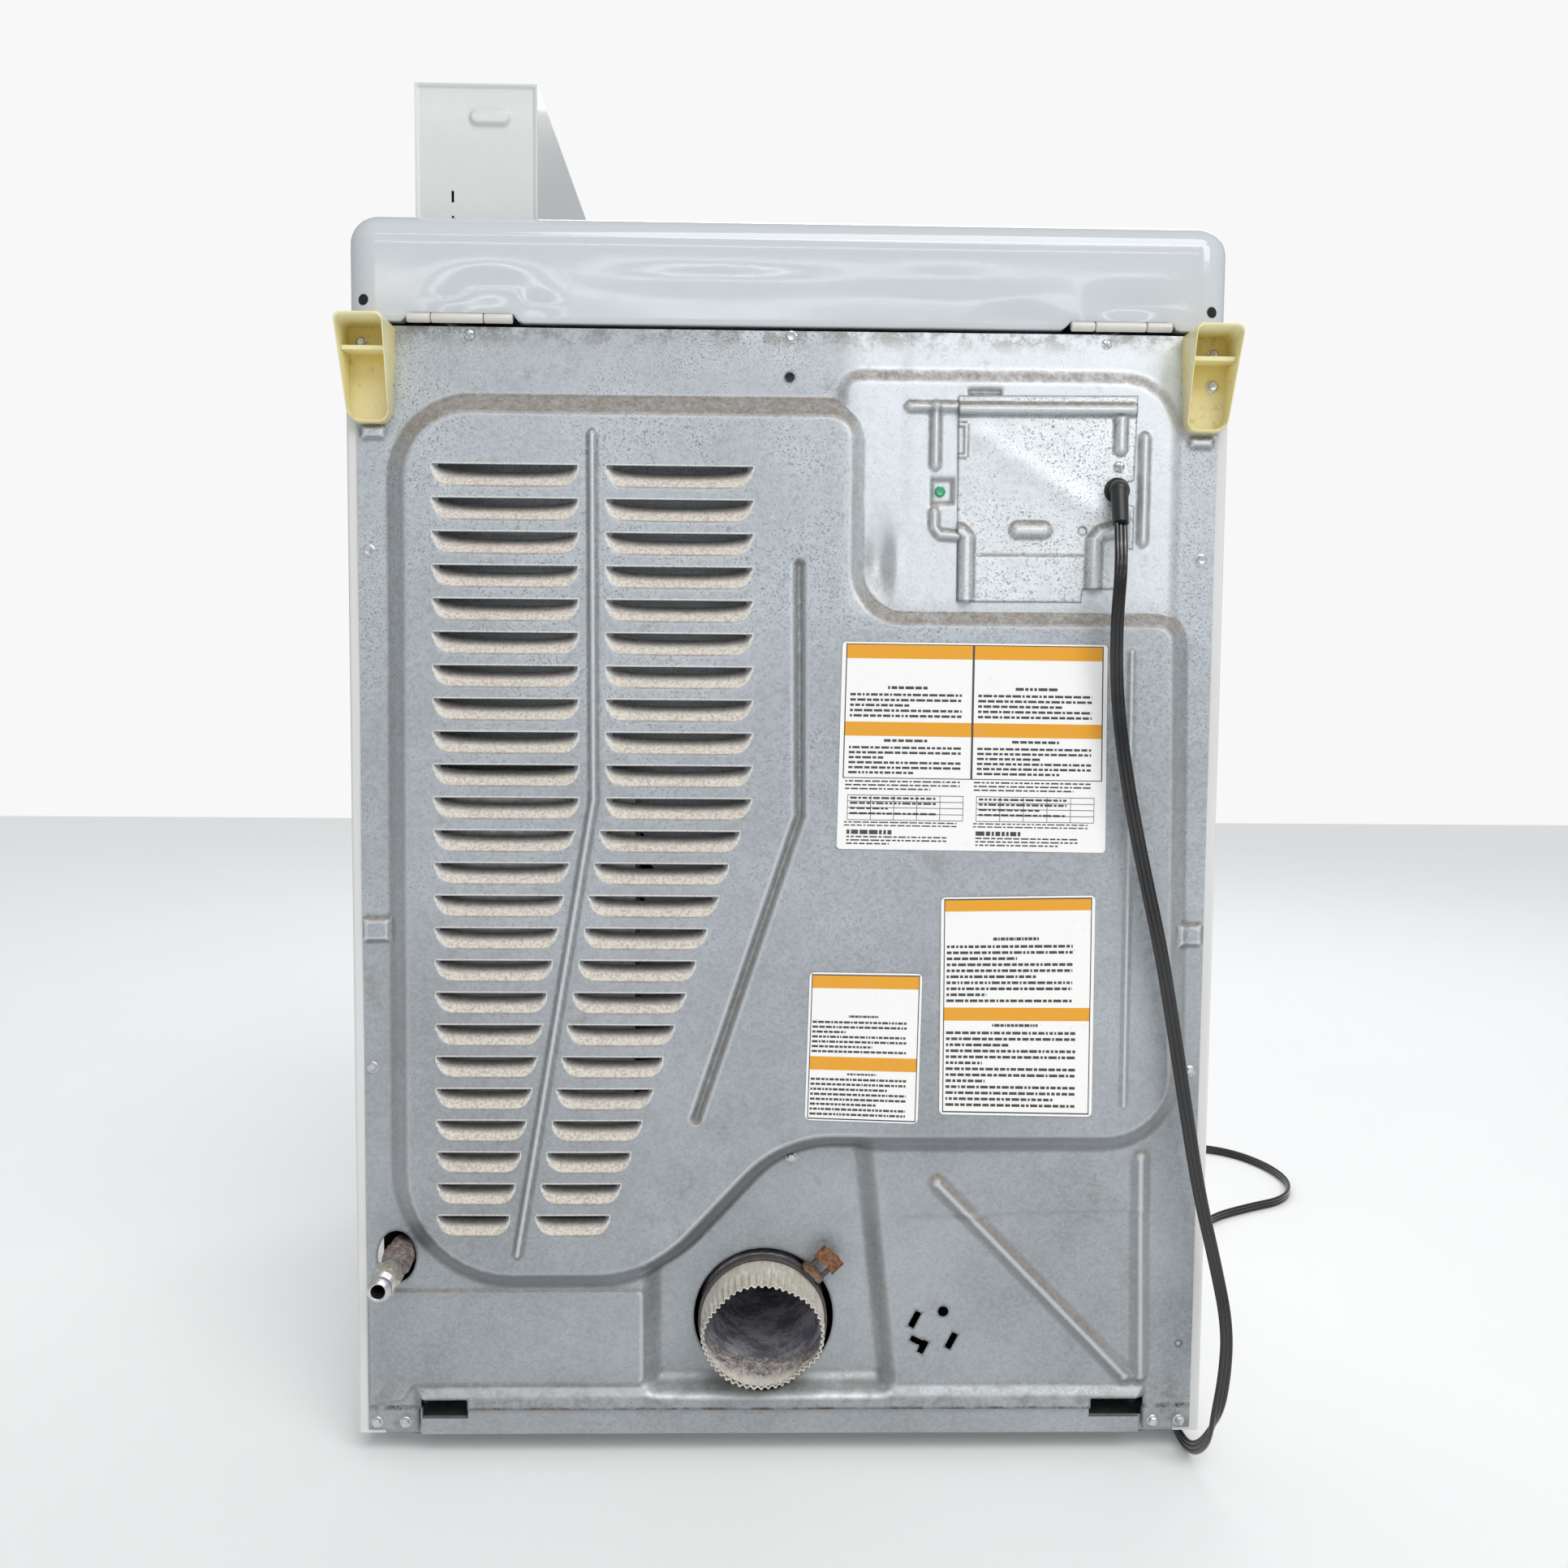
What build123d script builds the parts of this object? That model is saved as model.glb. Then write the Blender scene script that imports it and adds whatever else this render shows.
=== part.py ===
from build123d import *
import math
import os

# 27-inch gas clothes dryer with a coin meter case on its cover, as separate pieces.
# Millimetres, +Z up. The loading door faces -Y; the exhaust, gas inlet and power cord are at +Y.
# The origin is on the floor, under the middle of the dryer. Left and right are seen from the front,
# so right is +X.

os.makedirs("parts", exist_ok=True)

# ---------------------------------------------------------------- driving dimensions
WIDTH = 686.0            # 27 inches over the side panels
DEPTH = 690.0            # front panel face to rear panel flange
HANDLE_PROUD = 25.0      # door handle in front of the front panel
GAS_PROUD = 73.0         # gas fitting behind the rear flange
CLEARANCE = 20.0         # floor to the cabinet's bottom edge
CABINET_TOP = 901.0
COVER_BOTTOM = 903.0
COVER_TOP = 988.0
METER_TOP = 1097.0
SHEET = 1.0              # cabinet sheet steel
THICK_SHEET = 1.2        # bulkheads, cover and door skins

HALF = WIDTH / 2
REAR = (DEPTH + HANDLE_PROUD - GAS_PROUD) / 2    # outer face of the rear flange
FRONT = REAR - DEPTH                             # outer face of the front panel
RUN_FIT = 0.05           # radial clearance of shafts that turn in a bore

DRUM_R = 318.0
DRUM_Z = 565.0
DRUM_FRONT = -305.0
DRUM_REAR = 243.0
RING_R = 313.5           # bulkhead rings that the drum's ends run on
FRONT_WALL = -318.0      # front bulkhead
REAR_WALL = 255.0        # rear bulkhead

MOTOR_X = -190.0
MOTOR_Z = 130.0
MOTOR_R = 70.0
SHAFT_R = 6.0
PULLEY_R = 12.0
IDLER_X = -110.0
IDLER_Z = 135.0
IDLER_R = 20.0
PIVOT_X = -130.0
PIVOT_Z = 60.0
BELT_Y = -109.5
BELT_WIDTH = 8.0
BELT_GAP = 0.3

ROLLER_R = 35.0
ROLLER_ANGLE = 38.0
ROLLER_REACH = DRUM_R + ROLLER_R + 0.3
ROLLER_X = ROLLER_REACH * math.sin(math.radians(ROLLER_ANGLE))
ROLLER_Z = DRUM_Z - ROLLER_REACH * math.cos(math.radians(ROLLER_ANGLE))

VENT_X = 16.0
VENT_Z = 112.0
DUCT_R = 50.8            # 4-inch exhaust duct
VENT_FLOOR = REAR - 12.0
VENT_RIM = REAR + 30.0

GAS_X = 308.0
GAS_Z = 168.0
PIPE_R = 8.6             # 3/8-inch pipe
BURNER_X = 235.0
BURNER_Z = 130.0
BURNER_R = 55.0

HINGE_X = 254.5          # cover hinges, either side of the middle
HINGE_Y = REAR + 3.5
HINGE_Z = 906.5
BARREL_R = 3.7
PIN_R = 1.5

METER_X = 248.0
METER_W = 96.0
METER_REAR = REAR - 40.0
METER_FRONT = -140.0

DOOR_FRONT = FRONT - 22.0
DOOR_BACK = FRONT - 4.0
DOOR_X = 2.0
DOOR_Z = 560.0
DOOR_SIZE = 520.0
DOOR_AXIS_X = DOOR_X + DOOR_SIZE / 2 - 3
DOOR_AXIS_Y = FRONT - 12.0
DOOR_HINGE_Z = (DOOR_Z - 180, DOOR_Z + 180)
OPENING_W = 410.0
OPENING_H = 400.0

LINT_X = -40.0
LINT_W = 200.0
LINT_Y = FRONT_WALL - 12.5

BUTTON_Z = 873.0
BUTTON_R = 8.5

CORD_R = 5.5


def wall(y):
    """Sketch plane across the dryer at depth y, with local x along X and local y along Z."""
    return Plane(origin=(0, y, 0), x_dir=(1, 0, 0), z_dir=(0, -1, 0))


def side(x):
    """Sketch plane along the dryer at width x, with local x along Y and local y along Z."""
    return Plane(origin=(x, 0, 0), x_dir=(0, 1, 0), z_dir=(1, 0, 0))


def block(x0, x1, y0, y1, z0, z1, mode=Mode.ADD):
    """A rectangular block between two corners, in the part that is being built."""
    with Locations(((x0 + x1) / 2, (y0 + y1) / 2, (z0 + z1) / 2)):
        Box(x1 - x0, y1 - y0, z1 - z0, mode=mode)


def rod(x, z, radius, y0, y1, mode=Mode.ADD):
    """A round bar along Y at (x, z)."""
    with BuildSketch(wall(y1)) as section:
        with Locations((x, z)):
            Circle(radius)
    extrude(section.sketch, amount=y1 - y0, mode=mode)


def post(x, y, radius, z0, z1, mode=Mode.ADD):
    """A round bar along Z at (x, y)."""
    with BuildSketch(Plane.XY.offset(z0)) as section:
        with Locations((x, y)):
            Circle(radius)
    extrude(section.sketch, amount=z1 - z0, mode=mode)


# ---------------------------------------------------------------- cabinet
NOTCHES = ((254, 291), (-295, -251))
LEG_X = 300.0
LEG_Y = (-330.0, 270.0)
LEG_R = 5.0

with BuildPart() as base_pan:
    block(-341.9, 341.9, FRONT + 2.1, REAR - 2.1, CLEARANCE, CLEARANCE + 20)
    block(-340.7, 340.7, FRONT + 3.3, REAR - 3.3, CLEARANCE + THICK_SHEET, CLEARANCE + 21, Mode.SUBTRACT)
    block(-292, 292, REAR - 2.2, REAR + 2, CLEARANCE, CLEARANCE + 21.5)
    for x in (-LEG_X, LEG_X):
        for y in LEG_Y:
            post(x, y, LEG_R + RUN_FIT, CLEARANCE - 1, CLEARANCE + 3, Mode.SUBTRACT)
    for x0, x1 in NOTCHES:
        block(x0, x1, REAR - 6, REAR + 5, CLEARANCE + 13, CLEARANCE + 30, Mode.SUBTRACT)
base_pan.part.label = "base_pan"
export_step(base_pan.part, "parts/base_pan.step")

for sign, name in ((-1, "side_panel_left"), (1, "side_panel_right")):
    with BuildPart() as side_panel:
        with Locations((sign * (HALF - 11), (FRONT + REAR) / 2, (CLEARANCE + CABINET_TOP) / 2)):
            Box(22, DEPTH - 2 * SHEET, CABINET_TOP - CLEARANCE)
        corners = side_panel.edges().filter_by(Axis.Z).group_by(Axis.X)[0 if sign < 0 else -1]
        fillet(corners, radius=3)
        with Locations((sign * (HALF - 12), (FRONT + REAR) / 2, (CLEARANCE + CABINET_TOP) / 2)):
            Box(22, DEPTH - 4 * SHEET, CABINET_TOP, mode=Mode.SUBTRACT)
    side_panel.part.label = name
    export_step(side_panel.part, f"parts/{name}.step")

with BuildPart() as front_panel:
    block(-HALF, HALF, FRONT, FRONT + SHEET, 150, 844)
    with BuildSketch(wall(FRONT + 19)):
        with Locations((0, DOOR_Z)):
            RectangleRounded(OPENING_W + 2 * SHEET, OPENING_H + 2 * SHEET, 61)
    extrude(amount=18.5)
    with BuildSketch(wall(FRONT + 20)):
        with Locations((0, DOOR_Z)):
            RectangleRounded(OPENING_W, OPENING_H, 60)
    extrude(amount=21, mode=Mode.SUBTRACT)
front_panel.part.label = "front_panel"
export_step(front_panel.part, "parts/front_panel.step")

with BuildPart() as access_panel:
    block(-HALF, HALF, FRONT, FRONT + SHEET, CLEARANCE, 148)
    block(-320, 320, FRONT + SHEET, FRONT + 8, 140, 141)
    with Locations((0, FRONT, 62)):
        with GridLocations(46, 1, 8, 1):
            Box(30, 6, 5, mode=Mode.SUBTRACT)
access_panel.part.label = "access_panel"
export_step(access_panel.part, "parts/access_panel.step")

# ---------------------------------------------------------------- rear panel
EMBOSS = 12.0
EMBOSS_OUTLINE = (
    (303, 842), (-55, 842), (-55, 683), (-307, 683), (-315, 262), (0, 262), (105, 149), (306, 149),
)
EMBOSS_RADII = (58, 25, 35, 20, 58, 90, 110, 90)
JUNCTION = 4.0
JUNCTION_OUTLINE = ((-42, 866), (-300, 866), (-301, 670), (-42, 670))
JUNCTION_RADII = (14, 42, 14, 14)
VENT_OUTLINE = ((111, 205), (-72, 205), (-92, 58), (111, 58))
VENT_RADIUS = 14
LOUVER_ROWS = 24
LOUVER_PITCH = 25.68
LOUVER_TOP = 795.0
LOUVER_STRAIGHT_ROWS = 11


def louver_spans(row):
    """X spans of the two louvers in a row; the lower rows taper in beside the centre bead."""
    taper = max(0, row - LOUVER_STRAIGHT_ROWS + 1)
    return (162 + 4.28 * taper, 275), (28 + 8.5 * taper, 142 + 4.25 * taper)


def pressed_step(outline, radii, levels, mode=Mode.ADD):
    """Pressed area between two levels, each a depth y and how far its rounded outline is grown."""
    sections = []
    for y, grow in levels:
        with BuildSketch(wall(y)) as section:
            with BuildLine():
                FilletPolyline(*outline, radius=radii, close=True)
            make_face()
            if grow:
                offset(amount=grow)
        sections.append(section.sketch.face())
    loft(sections, ruled=True, mode=mode)


with BuildPart() as rear_panel:
    block(-335, 335, REAR - SHEET, REAR, 22, CABINET_TOP)
    block(-298, 298, REAR - SHEET, REAR + 4, 41.5, 58)
    pressed_step(EMBOSS_OUTLINE, EMBOSS_RADII, ((REAR - 0.1, 6), (REAR + EMBOSS, -6)))
    pressed_step(JUNCTION_OUTLINE, JUNCTION_RADII, ((REAR - 0.1, 2), (REAR + JUNCTION, -2)))
    pressed_step(VENT_OUTLINE, VENT_RADIUS, ((REAR - 0.5, 1), (VENT_FLOOR - SHEET, -9)))
    pressed_step(
        EMBOSS_OUTLINE, EMBOSS_RADII, ((REAR - SHEET, 5.6), (REAR + EMBOSS - SHEET, -6.4)), Mode.SUBTRACT,
    )
    pressed_step(
        JUNCTION_OUTLINE, JUNCTION_RADII, ((REAR - SHEET, 1.6), (REAR + JUNCTION - SHEET, -2.4)),
        Mode.SUBTRACT,
    )
    pressed_step(VENT_OUTLINE, VENT_RADIUS, ((REAR, 0), (VENT_FLOOR, -9.5)), Mode.SUBTRACT)
    block(-297, 297, REAR - 2, REAR + 3, 40, 57, Mode.SUBTRACT)
    block(-293, 293, REAR - 3, REAR + 6, 20, 42, Mode.SUBTRACT)
    for x0, x1 in NOTCHES:
        block(x0, x1, REAR - 3, REAR + 6, 33, 50, Mode.SUBTRACT)
    for row in range(LOUVER_ROWS):
        slot_top = LOUVER_TOP - LOUVER_PITCH * row
        for x0, x1 in louver_spans(row):
            block(x0 + 2, x1 - 2, REAR + 10, REAR + 13, slot_top - 8, slot_top, Mode.SUBTRACT)
    block(-245, -150, REAR, REAR + 6, 710, 835, Mode.SUBTRACT)
    rod(-255, 780.7, 14, REAR, REAR + 6, Mode.SUBTRACT)
    rod(VENT_X, VENT_Z, 56, VENT_FLOOR - 3, REAR, Mode.SUBTRACT)
    rod(0, 865.7, 3.5, REAR - 2, REAR + 1, Mode.SUBTRACT)
    rod(-130.6, 120.6, 4, REAR - 2, REAR + 1, Mode.SUBTRACT)
    with BuildSketch(wall(REAR + 1)):
        with Locations((310.5, 167)):
            Ellipse(15.5, 21)
        for x, z, angle in ((-107.5, 113.9, 62), (-137.6, 96.1, 62), (-113.8, 92.8, 62)):
            with Locations((x, z)):
                SlotOverall(14.5, 5, rotation=angle)
    extrude(amount=3, mode=Mode.SUBTRACT)
rear_panel.part.label = "rear_panel"
export_step(rear_panel.part, "parts/rear_panel.step")

TERMINAL_FACE = REAR + JUNCTION + 0.9
with BuildPart() as terminal_cover:
    with BuildSketch(wall(TERMINAL_FACE)):
        with BuildLine():
            Polyline(
                (-130, 852), (-270, 852), (-270, 735), (-257, 735), (-257, 704), (-231, 696), (-133, 694),
                close=True,
            )
        make_face()
    extrude(amount=0.9)
    block(-268, -130, TERMINAL_FACE, TERMINAL_FACE + 2.5, 838, 844)
    rod(-255, 780.7, 7.8, REAR, REAR + 9, Mode.SUBTRACT)
terminal_cover.part.label = "terminal_cover"
export_step(terminal_cover.part, "parts/terminal_cover.step")

# hex washer-head screws on the back, as (x, z, face they sit on)
SCREWS = (
    (-0.5, 896, REAR), (325.9, 729, REAR), (328, 321, REAR), (-324.4, 729, REAR), (-326.9, 320, REAR),
    (-6.7, 233, REAR), (327.6, 29, REAR), (304.7, 29, REAR), (-304.2, 29, REAR), (-325.7, 29, REAR),
    (247, 885, REAR), (-245.3, 885, REAR), (-256.3, 799.5, TERMINAL_FACE),
)
with BuildPart() as panel_screws:
    for x, z, face in SCREWS:
        rod(x, z, 4.6, face, face + 1)
        with BuildSketch(wall(face + 3.6)):
            with Locations((x, z)):
                RegularPolygon(radius=3.6, side_count=6)
        extrude(amount=2.6)
panel_screws.part.label = "panel_screws"
export_step(panel_screws.part, "parts/panel_screws.step")

# ---------------------------------------------------------------- rear spacers
SPACER_X = (304.0, 341.0)
SPACER_DEPTH = 45.0
for sign, name in ((-1, "rear_spacer_left"), (1, "rear_spacer_right")):
    inner, outer = SPACER_X
    with BuildPart() as spacer:
        with BuildSketch(side(sign * inner)):
            with BuildLine():
                Polyline(
                    (REAR, 902), (REAR + SPACER_DEPTH, 902), (REAR + 10, 826), (REAR, 826), close=True,
                )
            make_face()
        extrude(amount=sign * (outer - inner))
        fillet(spacer.edges().filter_by(Axis.Y).group_by(Axis.Z)[-1], radius=5)
        with BuildSketch(side(sign * (inner + 2.6))):
            with BuildLine():
                Polyline(
                    (REAR + 2.5, 899), (REAR + SPACER_DEPTH + 8, 899), (REAR + 16, 829),
                    (REAR + 2.5, 829), close=True,
                )
            make_face()
        extrude(amount=sign * (outer - inner - 5.2), mode=Mode.SUBTRACT)
        with BuildSketch(side(sign * (inner + 2.6))):
            with BuildLine():
                Polyline(
                    (REAR + 2.5, 879), (REAR + 30, 879), (REAR + 29, 876.6),
                    (REAR + 2.5, 876.6), close=True,
                )
            make_face()
        extrude(amount=sign * (outer - inner - 5.2))
    spacer.part.label = name
    export_step(spacer.part, f"parts/{name}.step")

# ---------------------------------------------------------------- cover, hinges and meter case
with BuildPart() as top_cover:
    block(-HALF, HALF, FRONT - 7, REAR - 0.5, COVER_BOTTOM, COVER_TOP)
    fillet(top_cover.edges().filter_by(Axis.Z), radius=14)
    fillet(top_cover.edges().group_by(Axis.Z)[-1], radius=22)
    offset(amount=-THICK_SHEET, openings=top_cover.faces().sort_by(Axis.Z)[0])
    for x in (-328, 329):
        rod(x, 920.5, 3.9, REAR - 6, REAR + 1, Mode.SUBTRACT)
top_cover.part.label = "top_cover"
export_step(top_cover.part, "parts/top_cover.step")

KNUCKLE_HALF = 21.0
BARREL_HALF = 41.0
KNUCKLE_GAP = 0.4
with BuildPart() as cover_hinge_pins:
    for sign in (-1, 1):
        centre = sign * HINGE_X
        with BuildSketch(side(centre - BARREL_HALF)):
            with Locations((HINGE_Y, HINGE_Z)):
                Circle(PIN_R)
        extrude(amount=2 * BARREL_HALF)
        for start in (centre - BARREL_HALF, centre + KNUCKLE_HALF + KNUCKLE_GAP):
            knuckle = BARREL_HALF - KNUCKLE_HALF - KNUCKLE_GAP
            with BuildSketch(side(start)):
                with Locations((HINGE_Y, HINGE_Z)):
                    Circle(BARREL_R)
            extrude(amount=knuckle)
            block(start, start + knuckle, REAR, REAR + 1.2, 890, HINGE_Z)
cover_hinge_pins.part.label = "cover_hinge_pins"
export_step(cover_hinge_pins.part, "parts/cover_hinge_pins.step")

with BuildPart() as cover_hinge_knuckles:
    for sign in (-1, 1):
        centre = sign * HINGE_X
        with BuildSketch(side(centre - KNUCKLE_HALF)):
            with Locations((HINGE_Y, HINGE_Z)):
                Circle(BARREL_R)
        extrude(amount=2 * KNUCKLE_HALF)
        block(centre - KNUCKLE_HALF, centre + KNUCKLE_HALF, REAR - 0.5, HINGE_Y, 904.5, 909)
        with BuildSketch(side(centre - KNUCKLE_HALF - 1)):
            with Locations((HINGE_Y, HINGE_Z)):
                Circle(PIN_R + RUN_FIT)
        extrude(amount=2 * KNUCKLE_HALF + 2, mode=Mode.SUBTRACT)
cover_hinge_knuckles.part.label = "cover_hinge_knuckles"
export_step(cover_hinge_knuckles.part, "parts/cover_hinge_knuckles.step")

VAULT_Z = (992.0, 1046.0)
VAULT_HALF = 40.0
with BuildPart() as meter_case:
    with BuildSketch(side(METER_X - METER_W / 2)):
        with BuildLine():
            Polyline(
                (METER_REAR, COVER_TOP), (METER_REAR, METER_TOP), (METER_FRONT + 45, METER_TOP),
                (METER_FRONT, METER_TOP - 45), (METER_FRONT, COVER_TOP), close=True,
            )
        make_face()
    extrude(amount=METER_W)
    with BuildSketch(side(METER_X - METER_W / 2 + 1.5)):
        with BuildLine():
            Polyline(
                (METER_REAR - 1.5, COVER_TOP - 1), (METER_REAR - 1.5, METER_TOP - 1.5),
                (METER_FRONT + 45.6, METER_TOP - 1.5), (METER_FRONT + 1.5, METER_TOP - 45.6),
                (METER_FRONT + 1.5, COVER_TOP - 1), close=True,
            )
        make_face()
    extrude(amount=METER_W - 3, mode=Mode.SUBTRACT)
    block(
        METER_X - VAULT_HALF, METER_X + VAULT_HALF, METER_FRONT - 1, METER_FRONT + 3, *VAULT_Z,
        Mode.SUBTRACT,
    )
    for z in (993.5, 1010.5):
        block(266, 268, METER_REAR - 3, METER_REAR + 1, z - 4.5, z + 4.5, Mode.SUBTRACT)
    slope = Plane(
        origin=(METER_X, METER_FRONT + 22.5, METER_TOP - 22.5), x_dir=(1, 0, 0), z_dir=(0, -1, 1),
    )
    with BuildSketch(slope.offset(1)):
        with Locations((-20, 6)):
            Rectangle(3, 27)
    extrude(amount=-4, mode=Mode.SUBTRACT)
meter_case.part.label = "meter_case"
export_step(meter_case.part, "parts/meter_case.step")

LOCK_R = 9.5
LOCK_Z = 1019.0
DRAWER_HALF = 36.0
with BuildPart() as coin_drawer:
    block(
        METER_X - VAULT_HALF + 1, METER_X + VAULT_HALF - 1, METER_FRONT - 3, METER_FRONT + 1,
        VAULT_Z[0] + 1, VAULT_Z[1] - 1,
    )
    block(METER_X - DRAWER_HALF, METER_X + DRAWER_HALF, METER_FRONT + 1, METER_FRONT + 180, 993.5, 1036)
    block(
        METER_X - DRAWER_HALF + 1.5, METER_X + DRAWER_HALF - 1.5, METER_FRONT + 1, METER_FRONT + 178.5,
        995, 1037, Mode.SUBTRACT,
    )
    rod(METER_X, LOCK_Z, LOCK_R + RUN_FIT, METER_FRONT - 5, METER_FRONT + 3, Mode.SUBTRACT)
coin_drawer.part.label = "coin_drawer"
export_step(coin_drawer.part, "parts/coin_drawer.step")

with BuildPart() as coin_lock:
    rod(METER_X, LOCK_Z, LOCK_R, METER_FRONT - 5, METER_FRONT + 7)
    rod(METER_X, LOCK_Z, 11.5, METER_FRONT - 6.5, METER_FRONT - 3.5)
    block(METER_X - 26, METER_X + 6, METER_FRONT + 4, METER_FRONT + 7, LOCK_Z - 4, LOCK_Z + 4)
    block(
        METER_X - 1, METER_X + 1, METER_FRONT - 7, METER_FRONT - 4, LOCK_Z - 4, LOCK_Z + 4,
        Mode.SUBTRACT,
    )
coin_lock.part.label = "coin_lock"
export_step(coin_lock.part, "parts/coin_lock.step")

# ---------------------------------------------------------------- control fascia and buttons
FASCIA_FRONT = FRONT - 6.0
BUTTONS = {"button_high": 20.0, "button_medium": 60.0, "button_low": 100.0, "button_start": 160.0}
with BuildPart() as control_fascia:
    block(-HALF, HALF, FASCIA_FRONT, FRONT + SHEET, 845, CABINET_TOP)
    fillet(control_fascia.edges().filter_by(Axis.X).group_by(Axis.Y)[0], radius=5)
    block(-320, 320, FRONT + SHEET, FRONT + 24, 845, CABINET_TOP)
    block(-317, 317, FASCIA_FRONT + 3, FRONT + 30, 848, CABINET_TOP - 3, Mode.SUBTRACT)
    block(-120, -30, FASCIA_FRONT - 1, FASCIA_FRONT + 1.2, 860, 887, Mode.SUBTRACT)
    for x in BUTTONS.values():
        rod(x, BUTTON_Z, BUTTON_R + 0.5, FASCIA_FRONT - 1, FASCIA_FRONT + 4, Mode.SUBTRACT)
control_fascia.part.label = "control_fascia"
export_step(control_fascia.part, "parts/control_fascia.step")

for name, x in BUTTONS.items():
    with BuildPart() as button:
        rod(x, BUTTON_Z, BUTTON_R, FASCIA_FRONT - 2, FASCIA_FRONT + 3.5)
        rod(x, BUTTON_Z, 11, FASCIA_FRONT + 3.5, FASCIA_FRONT + 5)
        rod(x, BUTTON_Z, 4, FASCIA_FRONT + 5, FASCIA_FRONT + 12)
        fillet(button.edges().group_by(Axis.Y)[0], radius=1)
    button.part.label = name
    export_step(button.part, f"parts/{name}.step")

with BuildPart() as control_board:
    block(-140, 180, FASCIA_FRONT + 20, FASCIA_FRONT + 21.6, 852, 894)
    block(-120, -30, FASCIA_FRONT + 9, FASCIA_FRONT + 20, 858, 889)
    for x in (-10, 130, 172):
        block(x - 7, x + 7, FASCIA_FRONT + 16, FASCIA_FRONT + 20, 856, 866)
control_board.part.label = "control_board"
export_step(control_board.part, "parts/control_board.step")

# ---------------------------------------------------------------- loading door
with BuildPart() as door_outer:
    with BuildSketch(wall(DOOR_BACK)):
        with Locations((DOOR_X, DOOR_Z)):
            RectangleRounded(DOOR_SIZE, DOOR_SIZE, 24)
    extrude(amount=DOOR_BACK - DOOR_FRONT)
    fillet(door_outer.edges().group_by(Axis.Y)[0], radius=6)
    with BuildSketch(wall(DOOR_BACK)):
        with Locations((DOOR_X, DOOR_Z)):
            RectangleRounded(DOOR_SIZE - 2.4, DOOR_SIZE - 2.4, 22.8)
    extrude(amount=DOOR_BACK - DOOR_FRONT - 7, mode=Mode.SUBTRACT)
    with BuildSketch(wall(DOOR_FRONT + 8)):
        with Locations((DOOR_X, DOOR_Z)):
            RectangleRounded(DOOR_SIZE - 14, DOOR_SIZE - 14, 17)
    extrude(amount=8 - THICK_SHEET, mode=Mode.SUBTRACT)
    for z in DOOR_HINGE_Z:
        block(
            DOOR_AXIS_X - 12, DOOR_AXIS_X + 2.5, DOOR_FRONT + 0.8, DOOR_BACK - THICK_SHEET,
            z - 26, z + 26,
        )
        block(
            DOOR_AXIS_X - 14, DOOR_AXIS_X + 6, DOOR_FRONT - 1, DOOR_BACK + 1, z - 12, z + 12,
            Mode.SUBTRACT,
        )
        post(DOOR_AXIS_X, DOOR_AXIS_Y, 2.5 + RUN_FIT, z - 24, z + 24, Mode.SUBTRACT)
door_outer.part.label = "door_outer"
export_step(door_outer.part, "parts/door_outer.step")

DISH_BACK = FRONT + 24.0
DISH_TAPER = 14.0
with BuildPart() as door_inner:
    with BuildSketch(wall(DOOR_BACK)):
        with Locations((DOOR_X, DOOR_Z)):
            RectangleRounded(DOOR_SIZE - 2.4, DOOR_SIZE - 2.4, 22.8)
    extrude(amount=THICK_SHEET)
    with BuildSketch(wall(DOOR_BACK)):
        with Locations((0, DOOR_Z)):
            RectangleRounded(376, 376, 50)
    extrude(amount=DOOR_BACK - DISH_BACK, taper=DISH_TAPER)
    with BuildSketch(wall(DOOR_BACK - THICK_SHEET)):
        with Locations((0, DOOR_Z)):
            RectangleRounded(373.4, 373.4, 48.7)
    extrude(amount=DOOR_BACK - DISH_BACK, taper=DISH_TAPER, mode=Mode.SUBTRACT)
    for z in DOOR_HINGE_Z:
        block(
            DOOR_AXIS_X - 14, DOOR_AXIS_X + 6, DOOR_BACK - 2, DOOR_BACK + 1, z - 12, z + 12,
            Mode.SUBTRACT,
        )
door_inner.part.label = "door_inner"
export_step(door_inner.part, "parts/door_inner.step")

with BuildPart() as door_gasket:
    with BuildSketch(wall(FRONT - 0.4)):
        with Locations((0, DOOR_Z)):
            RectangleRounded(470, 450, 80)
            RectangleRounded(436, 416, 64, mode=Mode.SUBTRACT)
    extrude(amount=3.6)
door_gasket.part.label = "door_gasket"
export_step(door_gasket.part, "parts/door_gasket.step")

with BuildPart() as door_handle:
    with BuildSketch(wall(DOOR_FRONT)):
        with Locations((DOOR_X - 236, DOOR_Z)):
            RectangleRounded(22, 130, 8)
    extrude(amount=3)
    fillet(door_handle.edges().group_by(Axis.Y)[0], radius=1.2)
door_handle.part.label = "door_handle"
export_step(door_handle.part, "parts/door_handle.step")

with BuildPart() as door_hinge_brackets:
    for z in DOOR_HINGE_Z:
        block(DOOR_AXIS_X - 6, DOOR_AXIS_X + 6, DOOR_AXIS_Y - 4, FRONT, z - 9, z + 9)
        post(DOOR_AXIS_X, DOOR_AXIS_Y, 2.5, z - 21, z + 21)
door_hinge_brackets.part.label = "door_hinge_brackets"
export_step(door_hinge_brackets.part, "parts/door_hinge_brackets.step")

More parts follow.
